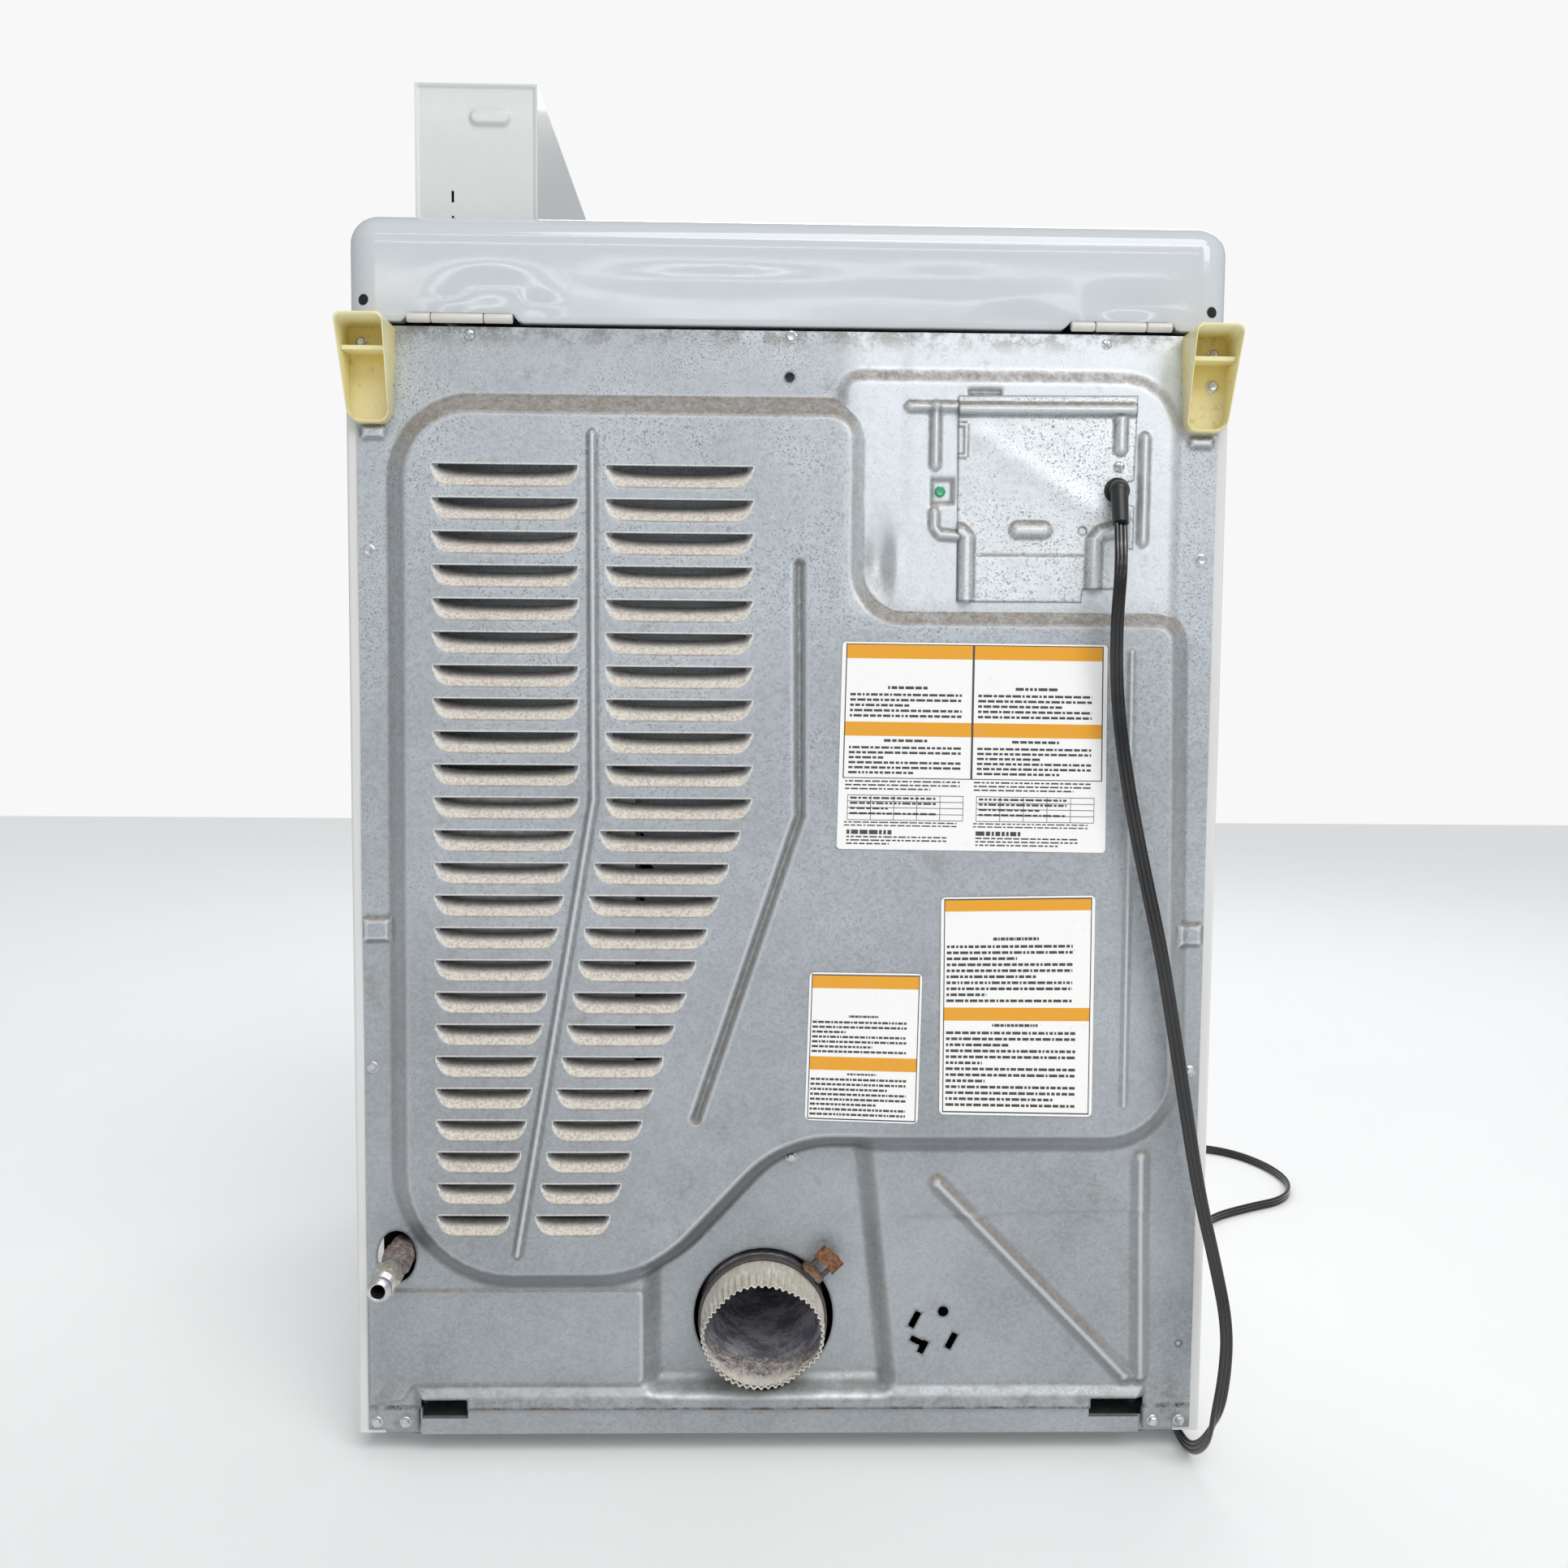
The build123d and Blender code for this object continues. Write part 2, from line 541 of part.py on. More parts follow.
# ---------------------------------------------------------------- bulkheads, drum and rollers
with BuildPart() as front_bulkhead:
    block(-338, 338, FRONT_WALL, FRONT_WALL + SHEET, 245, 895)
    rod(0, DRUM_Z, RING_R, FRONT_WALL, DRUM_FRONT + 15)
    rod(0, DRUM_Z, RING_R - THICK_SHEET, FRONT_WALL + SHEET, DRUM_FRONT + 16, Mode.SUBTRACT)
    with BuildSketch(wall(FRONT_WALL + 3)):
        with Locations((0, DOOR_Z)):
            RectangleRounded(OPENING_W + 10, OPENING_H, 60)
        with Locations((LINT_X, 310)):
            with GridLocations(1, 22, 1, 3):
                SlotOverall(170, 9)
    extrude(amount=6, mode=Mode.SUBTRACT)
front_bulkhead.part.label = "front_bulkhead"
export_step(front_bulkhead.part, "parts/front_bulkhead.step")

INLET_X = 170.0
INLET_Z = 470.0
with BuildPart() as rear_bulkhead:
    block(-338, 338, REAR_WALL, REAR_WALL + THICK_SHEET, 230, 895)
    rod(0, DRUM_Z, RING_R, DRUM_REAR - 12, REAR_WALL)
    rod(0, DRUM_Z, RING_R - THICK_SHEET, DRUM_REAR - 13, REAR_WALL, Mode.SUBTRACT)
    with BuildSketch(wall(REAR_WALL + 3)):
        with Locations((INLET_X, INLET_Z)):
            Circle(8)
            with PolarLocations(28, 6):
                Circle(8)
            with PolarLocations(54, 12):
                Circle(8)
    extrude(amount=6, mode=Mode.SUBTRACT)
rear_bulkhead.part.label = "rear_bulkhead"
export_step(rear_bulkhead.part, "parts/rear_bulkhead.step")

with BuildPart() as drum_shell:
    rod(0, DRUM_Z, DRUM_R, DRUM_FRONT, DRUM_REAR)
    rod(0, DRUM_Z, DRUM_R - THICK_SHEET, DRUM_FRONT - 1, DRUM_REAR + 1, Mode.SUBTRACT)
drum_shell.part.label = "drum_shell"
export_step(drum_shell.part, "parts/drum_shell.step")

BAFFLE = 90.0            # side of the baffles' triangular section
with BuildPart() as drum_baffles:
    with BuildSketch(wall(DRUM_REAR - 40)):
        with Locations((0, DRUM_Z)):
            with PolarLocations(DRUM_R, 3, start_angle=90):
                Triangle(a=BAFFLE, b=BAFFLE, c=BAFFLE, rotation=90)
    extrude(amount=DRUM_REAR - DRUM_FRONT - 80)
    with BuildSketch(wall(DRUM_REAR - 43)):
        with Locations((0, DRUM_Z)):
            with PolarLocations(DRUM_R + 6, 3, start_angle=90):
                Triangle(a=BAFFLE, b=BAFFLE, c=BAFFLE, rotation=90)
    extrude(amount=DRUM_REAR - DRUM_FRONT - 86, mode=Mode.SUBTRACT)
    with BuildSketch(wall(DRUM_REAR)):
        with Locations((0, DRUM_Z)):
            Circle(DRUM_R - THICK_SHEET)
    extrude(amount=DRUM_REAR - DRUM_FRONT, mode=Mode.INTERSECT)
drum_baffles.part.label = "drum_baffles"
export_step(drum_baffles.part, "parts/drum_baffles.step")

ROLLER_Y = (205.0, 225.0)
with BuildPart() as roller_shafts:
    for sign in (-1, 1):
        rod(sign * ROLLER_X, ROLLER_Z, SHAFT_R, ROLLER_Y[0] - 4, REAR_WALL)
        rod(sign * ROLLER_X, ROLLER_Z, 11, ROLLER_Y[1] + 0.5, REAR_WALL)
roller_shafts.part.label = "roller_shafts"
export_step(roller_shafts.part, "parts/roller_shafts.step")

for sign, name in ((-1, "drum_roller_left"), (1, "drum_roller_right")):
    with BuildPart() as roller:
        rod(sign * ROLLER_X, ROLLER_Z, ROLLER_R, *ROLLER_Y)
        rod(sign * ROLLER_X, ROLLER_Z, SHAFT_R + RUN_FIT, ROLLER_Y[0] - 1, ROLLER_Y[1] + 1, Mode.SUBTRACT)
    roller.part.label = name
    export_step(roller.part, f"parts/{name}.step")

# ---------------------------------------------------------------- motor, belt and blower
with BuildPart() as motor_body:
    rod(MOTOR_X, MOTOR_Z, MOTOR_R, -262, -132)
    fillet(motor_body.edges().filter_by(GeomType.CIRCLE), radius=8)
    rod(MOTOR_X, MOTOR_Z, MOTOR_R - 5, -254, -140, Mode.SUBTRACT)
    rod(MOTOR_X, MOTOR_Z, SHAFT_R + RUN_FIT, -263, -131, Mode.SUBTRACT)
motor_body.part.label = "motor_body"
export_step(motor_body.part, "parts/motor_body.step")

PAN_TOP = CLEARANCE + THICK_SHEET
BRACKET_Y = (-245.0, -148.0)
with BuildPart() as motor_bracket:
    block(MOTOR_X - 75, MOTOR_X + 75, -258, -134, PAN_TOP, PAN_TOP + 2)
    for y in BRACKET_Y:
        block(MOTOR_X - 75, MOTOR_X + 75, y, y + 3, PAN_TOP + 2, 105)
    rod(MOTOR_X, MOTOR_Z, MOTOR_R, -260, -133, Mode.SUBTRACT)
    rod(PIVOT_X, PIVOT_Z, 4, BRACKET_Y[1] + 3, -92)
motor_bracket.part.label = "motor_bracket"
export_step(motor_bracket.part, "parts/motor_bracket.step")

with BuildPart() as motor_pulley:
    rod(MOTOR_X, MOTOR_Z, SHAFT_R, -326, -98)
    rod(MOTOR_X, MOTOR_Z, 40, -245, -150)
    rod(MOTOR_X, MOTOR_Z, PULLEY_R, -119, -100)
    for y in (-119, -102):
        rod(MOTOR_X, MOTOR_Z, PULLEY_R + 3, y, y + 2)
motor_pulley.part.label = "motor_pulley"
export_step(motor_pulley.part, "parts/motor_pulley.step")

with BuildPart() as blower_wheel:
    rod(MOTOR_X, MOTOR_Z, 82, -290, -288)
    rod(MOTOR_X, MOTOR_Z, 14, -326, -288)
    with BuildSketch(wall(-290)):
        with Locations((MOTOR_X, MOTOR_Z)):
            with PolarLocations(70, 24):
                Rectangle(22, 1.6, rotation=25)
    extrude(amount=34)
    rod(MOTOR_X, MOTOR_Z, SHAFT_R, -330, -280, Mode.SUBTRACT)
blower_wheel.part.label = "blower_wheel"
export_step(blower_wheel.part, "parts/blower_wheel.step")


def belt_loop(extra, mode=Mode.ADD):
    """Loop around the drum, the motor pulley and the idler, standing off their faces."""
    with BuildSketch(wall(BELT_Y + BELT_WIDTH / 2)) as loop:
        with BuildLine():
            CenterArc((0, DRUM_Z), DRUM_R + extra, 0, 360)
            CenterArc((MOTOR_X, MOTOR_Z), PULLEY_R + extra, 0, 360)
            CenterArc((IDLER_X, IDLER_Z), IDLER_R + extra, 0, 360)
        make_hull()
    extrude(loop.sketch, amount=BELT_WIDTH, mode=mode)


with BuildPart() as drum_belt:
    belt_loop(BELT_GAP + 2.5)
    belt_loop(BELT_GAP, Mode.SUBTRACT)
drum_belt.part.label = "drum_belt"
export_step(drum_belt.part, "parts/drum_belt.step")

with BuildPart() as idler_arm:
    with BuildSketch(wall(-95)):
        with BuildLine():
            CenterArc((IDLER_X, IDLER_Z), 11, 0, 360)
            CenterArc((PIVOT_X, PIVOT_Z), 11, 0, 360)
        make_hull()
    extrude(amount=4)
    rod(PIVOT_X, PIVOT_Z, 4 + RUN_FIT, -100, -94, Mode.SUBTRACT)
    rod(IDLER_X, IDLER_Z, 5, -121, -99)
idler_arm.part.label = "idler_arm"
export_step(idler_arm.part, "parts/idler_arm.step")

with BuildPart() as idler_pulley:
    rod(IDLER_X, IDLER_Z, IDLER_R, -118, -101)
    rod(IDLER_X, IDLER_Z, 5 + RUN_FIT, -119, -100, Mode.SUBTRACT)
idler_pulley.part.label = "idler_pulley"
export_step(idler_pulley.part, "parts/idler_pulley.step")

BLOWER_R = 103.0
BLOWER_Y = (-341.0, -275.0)
with BuildPart() as blower_housing:
    rod(MOTOR_X, MOTOR_Z, BLOWER_R, *BLOWER_Y)
    block(MOTOR_X, VENT_X + 60, *BLOWER_Y, VENT_Z - 55, VENT_Z + 50)
    block(LINT_X - LINT_W / 2, LINT_X + LINT_W / 2, BLOWER_Y[0], FRONT_WALL - 0.5, 172, 352)
    block(MOTOR_X - 45, MOTOR_X + 45, *BLOWER_Y, PAN_TOP, 60)
    rod(MOTOR_X, MOTOR_Z, BLOWER_R - 1.5, BLOWER_Y[0] + 1.5, BLOWER_Y[1] - 1.5, Mode.SUBTRACT)
    block(
        MOTOR_X + 20, VENT_X + 58.5, BLOWER_Y[0] + 1.5, BLOWER_Y[1] - 1.5, VENT_Z - 53.5, VENT_Z + 48.5,
        Mode.SUBTRACT,
    )
    block(
        LINT_X - LINT_W / 2 + 1.5, LINT_X + LINT_W / 2 - 1.5, BLOWER_Y[0] + 1.5, FRONT_WALL - 2,
        173.5, 353, Mode.SUBTRACT,
    )
    block(LINT_X - 85, LINT_X + 85, FRONT_WALL - 3, FRONT_WALL, 280, 340, Mode.SUBTRACT)
    rod(MOTOR_X, MOTOR_Z, 20, BLOWER_Y[1] - 3, BLOWER_Y[1] + 1, Mode.SUBTRACT)
    rod(VENT_X, VENT_Z, DUCT_R - 3, BLOWER_Y[1] - 3, BLOWER_Y[1] + 1, Mode.SUBTRACT)
blower_housing.part.label = "blower_housing"
export_step(blower_housing.part, "parts/blower_housing.step")

with BuildPart() as lint_screen:
    block(LINT_X - 95, LINT_X + 95, LINT_Y - 4, LINT_Y + 4, 178, 346)
    block(LINT_X - 87, LINT_X + 87, LINT_Y - 5, LINT_Y - 0.6, 186, 338, Mode.SUBTRACT)
    block(LINT_X - 87, LINT_X + 87, LINT_Y + 0.6, LINT_Y + 5, 186, 338, Mode.SUBTRACT)
    block(LINT_X - 40, LINT_X + 40, LINT_Y - 4, LINT_Y + 4, 346, 356)
lint_screen.part.label = "lint_screen"
export_step(lint_screen.part, "parts/lint_screen.step")

# ---------------------------------------------------------------- exhaust
STUB_START = VENT_FLOOR - 3
SQUASH_START = VENT_FLOOR + 9
with BuildPart() as exhaust_duct:
    rod(VENT_X, VENT_Z, DUCT_R, BLOWER_Y[1], STUB_START)
    rod(VENT_X, VENT_Z, DUCT_R - 0.8, BLOWER_Y[1] - 1, STUB_START + 1, Mode.SUBTRACT)
exhaust_duct.part.label = "exhaust_duct"
export_step(exhaust_duct.part, "parts/exhaust_duct.step")


def squashed_tube(sections, mode=Mode.ADD):
    """Duct through oval sections, each a depth y, half width and half height."""
    ovals = []
    for y, half_width, half_height in sections:
        with BuildSketch(wall(y)) as oval:
            with Locations((VENT_X, VENT_Z)):
                Ellipse(half_width, half_height)
        ovals.append(oval.sketch.face())
    loft(ovals, ruled=True, mode=mode)


with BuildPart() as exhaust_stub:
    squashed_tube(
        ((STUB_START, DUCT_R, DUCT_R - 0.1), (SQUASH_START, DUCT_R, DUCT_R - 0.1), (VENT_RIM, 48.3, 42)),
    )
    squashed_tube(
        (
            (STUB_START - 1, DUCT_R - 0.8, DUCT_R - 0.9), (SQUASH_START, DUCT_R - 0.8, DUCT_R - 0.9),
            (VENT_RIM + 1, 47.4, 41.1),
        ),
        Mode.SUBTRACT,
    )
exhaust_stub.part.label = "exhaust_stub"
export_step(exhaust_stub.part, "parts/exhaust_stub.step")

CLAMP_Y = (VENT_FLOOR + 0.5, VENT_FLOOR + 9)
CLAMP_ANGLE = math.radians(135)
clamp_side = Plane(
    origin=(VENT_X, sum(CLAMP_Y) / 2, VENT_Z),
    x_dir=(0, 1, 0),
    z_dir=(math.cos(CLAMP_ANGLE), 0, math.sin(CLAMP_ANGLE)),
)
with BuildPart() as exhaust_clamp:
    rod(VENT_X, VENT_Z, DUCT_R + 1.6, *CLAMP_Y)
    with BuildSketch(clamp_side.offset(DUCT_R)):
        Rectangle(9, 14)
    extrude(amount=6)
    rod(VENT_X, VENT_Z, DUCT_R, CLAMP_Y[0] - 1, CLAMP_Y[1] + 1, Mode.SUBTRACT)
exhaust_clamp.part.label = "exhaust_clamp"
export_step(exhaust_clamp.part, "parts/exhaust_clamp.step")

with BuildPart() as clamp_screw:
    with BuildSketch(clamp_side.offset(DUCT_R + 6)):
        with Locations((4, 0)):
            Circle(2.4)
    extrude(amount=18)
    with BuildSketch(clamp_side.offset(DUCT_R + 24)):
        with Locations((4, 0)):
            RegularPolygon(radius=6.5, side_count=6)
    extrude(amount=4)
clamp_screw.part.label = "clamp_screw"
export_step(clamp_screw.part, "parts/clamp_screw.step")

# ---------------------------------------------------------------- gas heat
HEAT_Y = REAR_WALL + THICK_SHEET
with BuildPart() as heat_duct:
    block(120, 292, HEAT_Y, REAR - 5, 62, 545)
    block(121.2, 290.8, HEAT_Y + 1.2, REAR - 6.2, 63.2, 543.8, Mode.SUBTRACT)
    rod(BURNER_X, BURNER_Z, BURNER_R - 2, HEAT_Y - 1, HEAT_Y + 3, Mode.SUBTRACT)
    block(125, 240, HEAT_Y - 1, HEAT_Y + 3, 405, 538, Mode.SUBTRACT)
heat_duct.part.label = "heat_duct"
export_step(heat_duct.part, "parts/heat_duct.step")

with BuildPart() as burner_tube:
    rod(BURNER_X, BURNER_Z, BURNER_R, -40, HEAT_Y)
    rod(BURNER_X, BURNER_Z, BURNER_R - 1, -41, HEAT_Y + 1, Mode.SUBTRACT)
    block(BURNER_X - 25, BURNER_X + 25, 0, 60, PAN_TOP, BURNER_Z - BURNER_R + 0.6)
burner_tube.part.label = "burner_tube"
export_step(burner_tube.part, "parts/burner_tube.step")

VALVE_Y = (-210.0, -150.0)
with BuildPart() as gas_valve:
    block(215, 336, *VALVE_Y, 138, 198)
    for x in (262, 305):
        post(x, -180, 17, 198, 236)
    rod(BURNER_X, 150, 8, VALVE_Y[1], -60)
    rod(270, 158, 4, VALVE_Y[0] - 9, VALVE_Y[0])
    block(240, 320, -200, -197, PAN_TOP, 138)
gas_valve.part.label = "gas_valve"
export_step(gas_valve.part, "parts/gas_valve.step")

with BuildPart() as shutoff_lever:
    rod(270, 158, 9, VALVE_Y[0] - 7, VALVE_Y[0] - 1)
    block(266, 274, VALVE_Y[0] - 6, VALVE_Y[0] - 2, 158, 192)
    rod(270, 158, 4 + RUN_FIT, VALVE_Y[0] - 8, VALVE_Y[0], Mode.SUBTRACT)
shutoff_lever.part.label = "shutoff_lever"
export_step(shutoff_lever.part, "parts/shutoff_lever.step")

FITTING_Y = REAR + 41.0
FLARE_R = 9.525          # 3/4-16 thread of a 1/2-inch flare fitting
with BuildPart() as gas_pipe:
    rod(GAS_X, GAS_Z, PIPE_R, VALVE_Y[1], FITTING_Y)
    rod(GAS_X, GAS_Z, PIPE_R - 2.4, VALVE_Y[1] - 1, FITTING_Y + 1, Mode.SUBTRACT)
gas_pipe.part.label = "gas_pipe"
export_step(gas_pipe.part, "parts/gas_pipe.step")

with BuildPart() as gas_fitting:
    with BuildSketch(wall(FITTING_Y + 15)):
        with Locations((GAS_X, GAS_Z)):
            RegularPolygon(radius=11.1, side_count=6, major_radius=False)
    extrude(amount=15)
    rod(GAS_X, GAS_Z, FLARE_R, FITTING_Y + 15, REAR + GAS_PROUD)
    rod(GAS_X, GAS_Z, 5.2, FITTING_Y - 1, REAR + GAS_PROUD + 1, Mode.SUBTRACT)
gas_fitting.part.label = "gas_fitting"
export_step(gas_fitting.part, "parts/gas_fitting.step")

# ---------------------------------------------------------------- leveling legs
LEGS = {
    "leg_front_left": (-LEG_X, LEG_Y[0]),
    "leg_front_right": (LEG_X, LEG_Y[0]),
    "leg_rear_left": (-LEG_X, LEG_Y[1]),
    "leg_rear_right": (LEG_X, LEG_Y[1]),
}
for name, (x, y) in LEGS.items():
    with BuildPart() as leg:
        post(x, y, 14, 0, 8)
        with BuildSketch(Plane.XY.offset(8)):
            with Locations((x, y)):
                RegularPolygon(radius=9, side_count=6)
        extrude(amount=6)
        post(x, y, LEG_R, 14, 48)
    leg.part.label = name
    export_step(leg.part, f"parts/{name}.step")

# ---------------------------------------------------------------- power cord
EXIT = Vector(-255, REAR + 13, 781)
EXIT_DIR = Vector(0.04, 0.42, -0.91).normalized()
SLEEVE = 30.0
CORD_START = EXIT + EXIT_DIR * SLEEVE
with BuildPart() as cord_strain_relief:
    rod(EXIT.X, EXIT.Z, 7.4, REAR - 5, EXIT.Y)
    rod(EXIT.X, EXIT.Z, 10, TERMINAL_FACE, TERMINAL_FACE + 2)
    with Locations(EXIT):
        Sphere(7.4)
    with BuildSketch(Plane(origin=EXIT, z_dir=EXIT_DIR)):
        Circle(7)
    with BuildSketch(Plane(origin=CORD_START, z_dir=EXIT_DIR)):
        Circle(CORD_R + 0.6)
    loft()
cord_strain_relief.part.label = "cord_strain_relief"
export_step(cord_strain_relief.part, "parts/cord_strain_relief.step")

# From the strain relief down the back, round the lower corner to the floor, forward beside the
# cabinet and out in one loop to the plug.
FLOOR_Z = CORD_R
PLUG_ENTRY = Vector(-478, -447, 9)
CORD_ROUTE = (
    CORD_START,
    CORD_START + EXIT_DIR * 31,
    Vector(-250, 357, 677),
    Vector(-253, 350, 622),
    Vector(-262, 352, 556),
    Vector(-277, 349, 490),
    Vector(-292, 352, 425),
    Vector(-305, 349, 360),
    Vector(-316, 351, 295),
    Vector(-328, 350, 230),
    Vector(-342, 354, 172),
    Vector(-350, 363, 126),
    Vector(-347, 369, 88),
    Vector(-341, 369, 53),
    Vector(-337, 352, 23),
    Vector(-334, 323, FLOOR_Z),
    Vector(-333, 284, FLOOR_Z),
    Vector(-338, 235, FLOOR_Z),
    Vector(-348, 178, FLOOR_Z),
    Vector(-364, 115, FLOOR_Z),
    Vector(-390, 35, FLOOR_Z),
    Vector(-422, -50, FLOOR_Z),
    Vector(-462, -130, FLOOR_Z),
    Vector(-510, -200, FLOOR_Z),
    Vector(-568, -236, FLOOR_Z),
    Vector(-622, -262, FLOOR_Z),
    Vector(-650, -318, FLOOR_Z),
    Vector(-645, -385, FLOOR_Z),
    Vector(-614, -445, FLOOR_Z),
    Vector(-560, -470, FLOOR_Z),
    Vector(-514, -458, 7),
    PLUG_ENTRY,
)


def arc_radii(points):
    """Largest tangent arc at each corner that leaves a tenth of the shorter run straight."""
    radii = []
    for before, corner, after in zip(points, points[1:], points[2:]):
        turn = math.radians((corner - before).get_angle(after - corner))
        shorter = min((corner - before).length, (after - corner).length)
        radii.append(0.45 * shorter / math.tan(turn / 2))
    return radii


CORD_RADII = arc_radii(CORD_ROUTE)
print("cord arc radii, mm:", [round(radius) for radius in CORD_RADII])

with BuildPart() as power_cord:
    with BuildLine():
        cord_path = FilletPolyline(*CORD_ROUTE, radius=CORD_RADII)
    with BuildSketch(Plane(origin=CORD_START, z_dir=EXIT_DIR)):
        Circle(CORD_R)
    sweep(path=cord_path)
power_cord.part.label = "power_cord"
export_step(power_cord.part, "parts/power_cord.step")
print("cord length, mm:", round(cord_path.length))
swept_volume = math.pi * CORD_R**2 * cord_path.length
print("cord volume over section times length:", round(power_cord.part.volume / swept_volume, 4))

PLUG_DIR = (CORD_ROUTE[-1] - CORD_ROUTE[-2]).normalized()
plug_plane = Plane(origin=PLUG_ENTRY, x_dir=(PLUG_DIR.Y, -PLUG_DIR.X, 0), z_dir=PLUG_DIR)
with BuildPart() as power_plug:
    with BuildSketch(plug_plane):
        Circle(CORD_R + 0.8)
    with BuildSketch(plug_plane.offset(16)):
        Circle(8)
    loft()
    with BuildSketch(plug_plane.offset(16)):
        RectangleRounded(24, 17, 5)
    extrude(amount=26)
    for x, y in ((-6.35, -2), (6.35, -2)):
        with BuildSketch(plug_plane.offset(42)):
            with Locations((x, y)):
                Rectangle(1.5, 6.5)
        extrude(amount=16)
    with BuildSketch(plug_plane.offset(42)):
        with Locations((0, 5)):
            Circle(2.4)
    extrude(amount=19)
power_plug.part.label = "power_plug"
export_step(power_plug.part, "parts/power_plug.step")
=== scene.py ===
import math

import bmesh
import bpy
import numpy as np
from mathutils import Matrix, Vector


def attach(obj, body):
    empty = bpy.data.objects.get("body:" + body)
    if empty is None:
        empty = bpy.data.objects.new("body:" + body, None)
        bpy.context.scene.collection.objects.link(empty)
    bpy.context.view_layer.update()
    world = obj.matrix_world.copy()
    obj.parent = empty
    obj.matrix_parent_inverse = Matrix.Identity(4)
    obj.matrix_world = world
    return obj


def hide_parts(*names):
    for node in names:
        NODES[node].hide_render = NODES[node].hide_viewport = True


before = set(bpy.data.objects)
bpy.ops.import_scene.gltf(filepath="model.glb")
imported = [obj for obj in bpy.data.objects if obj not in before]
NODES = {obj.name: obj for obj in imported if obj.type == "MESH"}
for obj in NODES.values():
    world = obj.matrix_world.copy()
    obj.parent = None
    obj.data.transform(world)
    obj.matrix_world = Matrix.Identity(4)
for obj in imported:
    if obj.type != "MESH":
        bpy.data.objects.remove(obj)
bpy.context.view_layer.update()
MM = 0.001
REAR = 321.0                                    # rear flange plane of the cabinet, mm
COVER_X, COVER_BACK, COVER_TOP = 343, 320.5, 988    # side, back and top of the cover, mm
VENT_X, VENT_Z = 16, 112                        # axis of the exhaust stub, mm
GAS_X, GAS_Z = 308, 168                         # axis of the gas fitting, mm
CAVITY_LIP = 0.0415                             # height of the seam along the panel's foot, m


# ---------------------------------------------------------------- camera
def look(yaw, pitch, roll):
    """Camera rotation that faces the back of the dryer."""
    forward = Vector((-math.sin(yaw) * math.cos(pitch), -math.cos(yaw) * math.cos(pitch), -math.sin(pitch)))
    right = forward.cross(Vector((0, 0, 1))).normalized()
    up = right.cross(forward)
    turned_right = math.cos(roll) * right + math.sin(roll) * up
    turned_up = -math.sin(roll) * right + math.cos(roll) * up
    return Matrix((turned_right, turned_up, -forward)).transposed()


camera_data = bpy.data.cameras.new("camera")
camera_data.sensor_width = 36.0
camera_data.lens = 34.66
camera = bpy.data.objects.new("camera", camera_data)
bpy.context.scene.collection.objects.link(camera)
camera.matrix_world = Matrix.Translation((0.0299, 1.5102, 0.6372)) @ look(
    math.radians(1.328), math.radians(4.201), math.radians(0.473)
).to_4x4()
bpy.context.scene.camera = camera


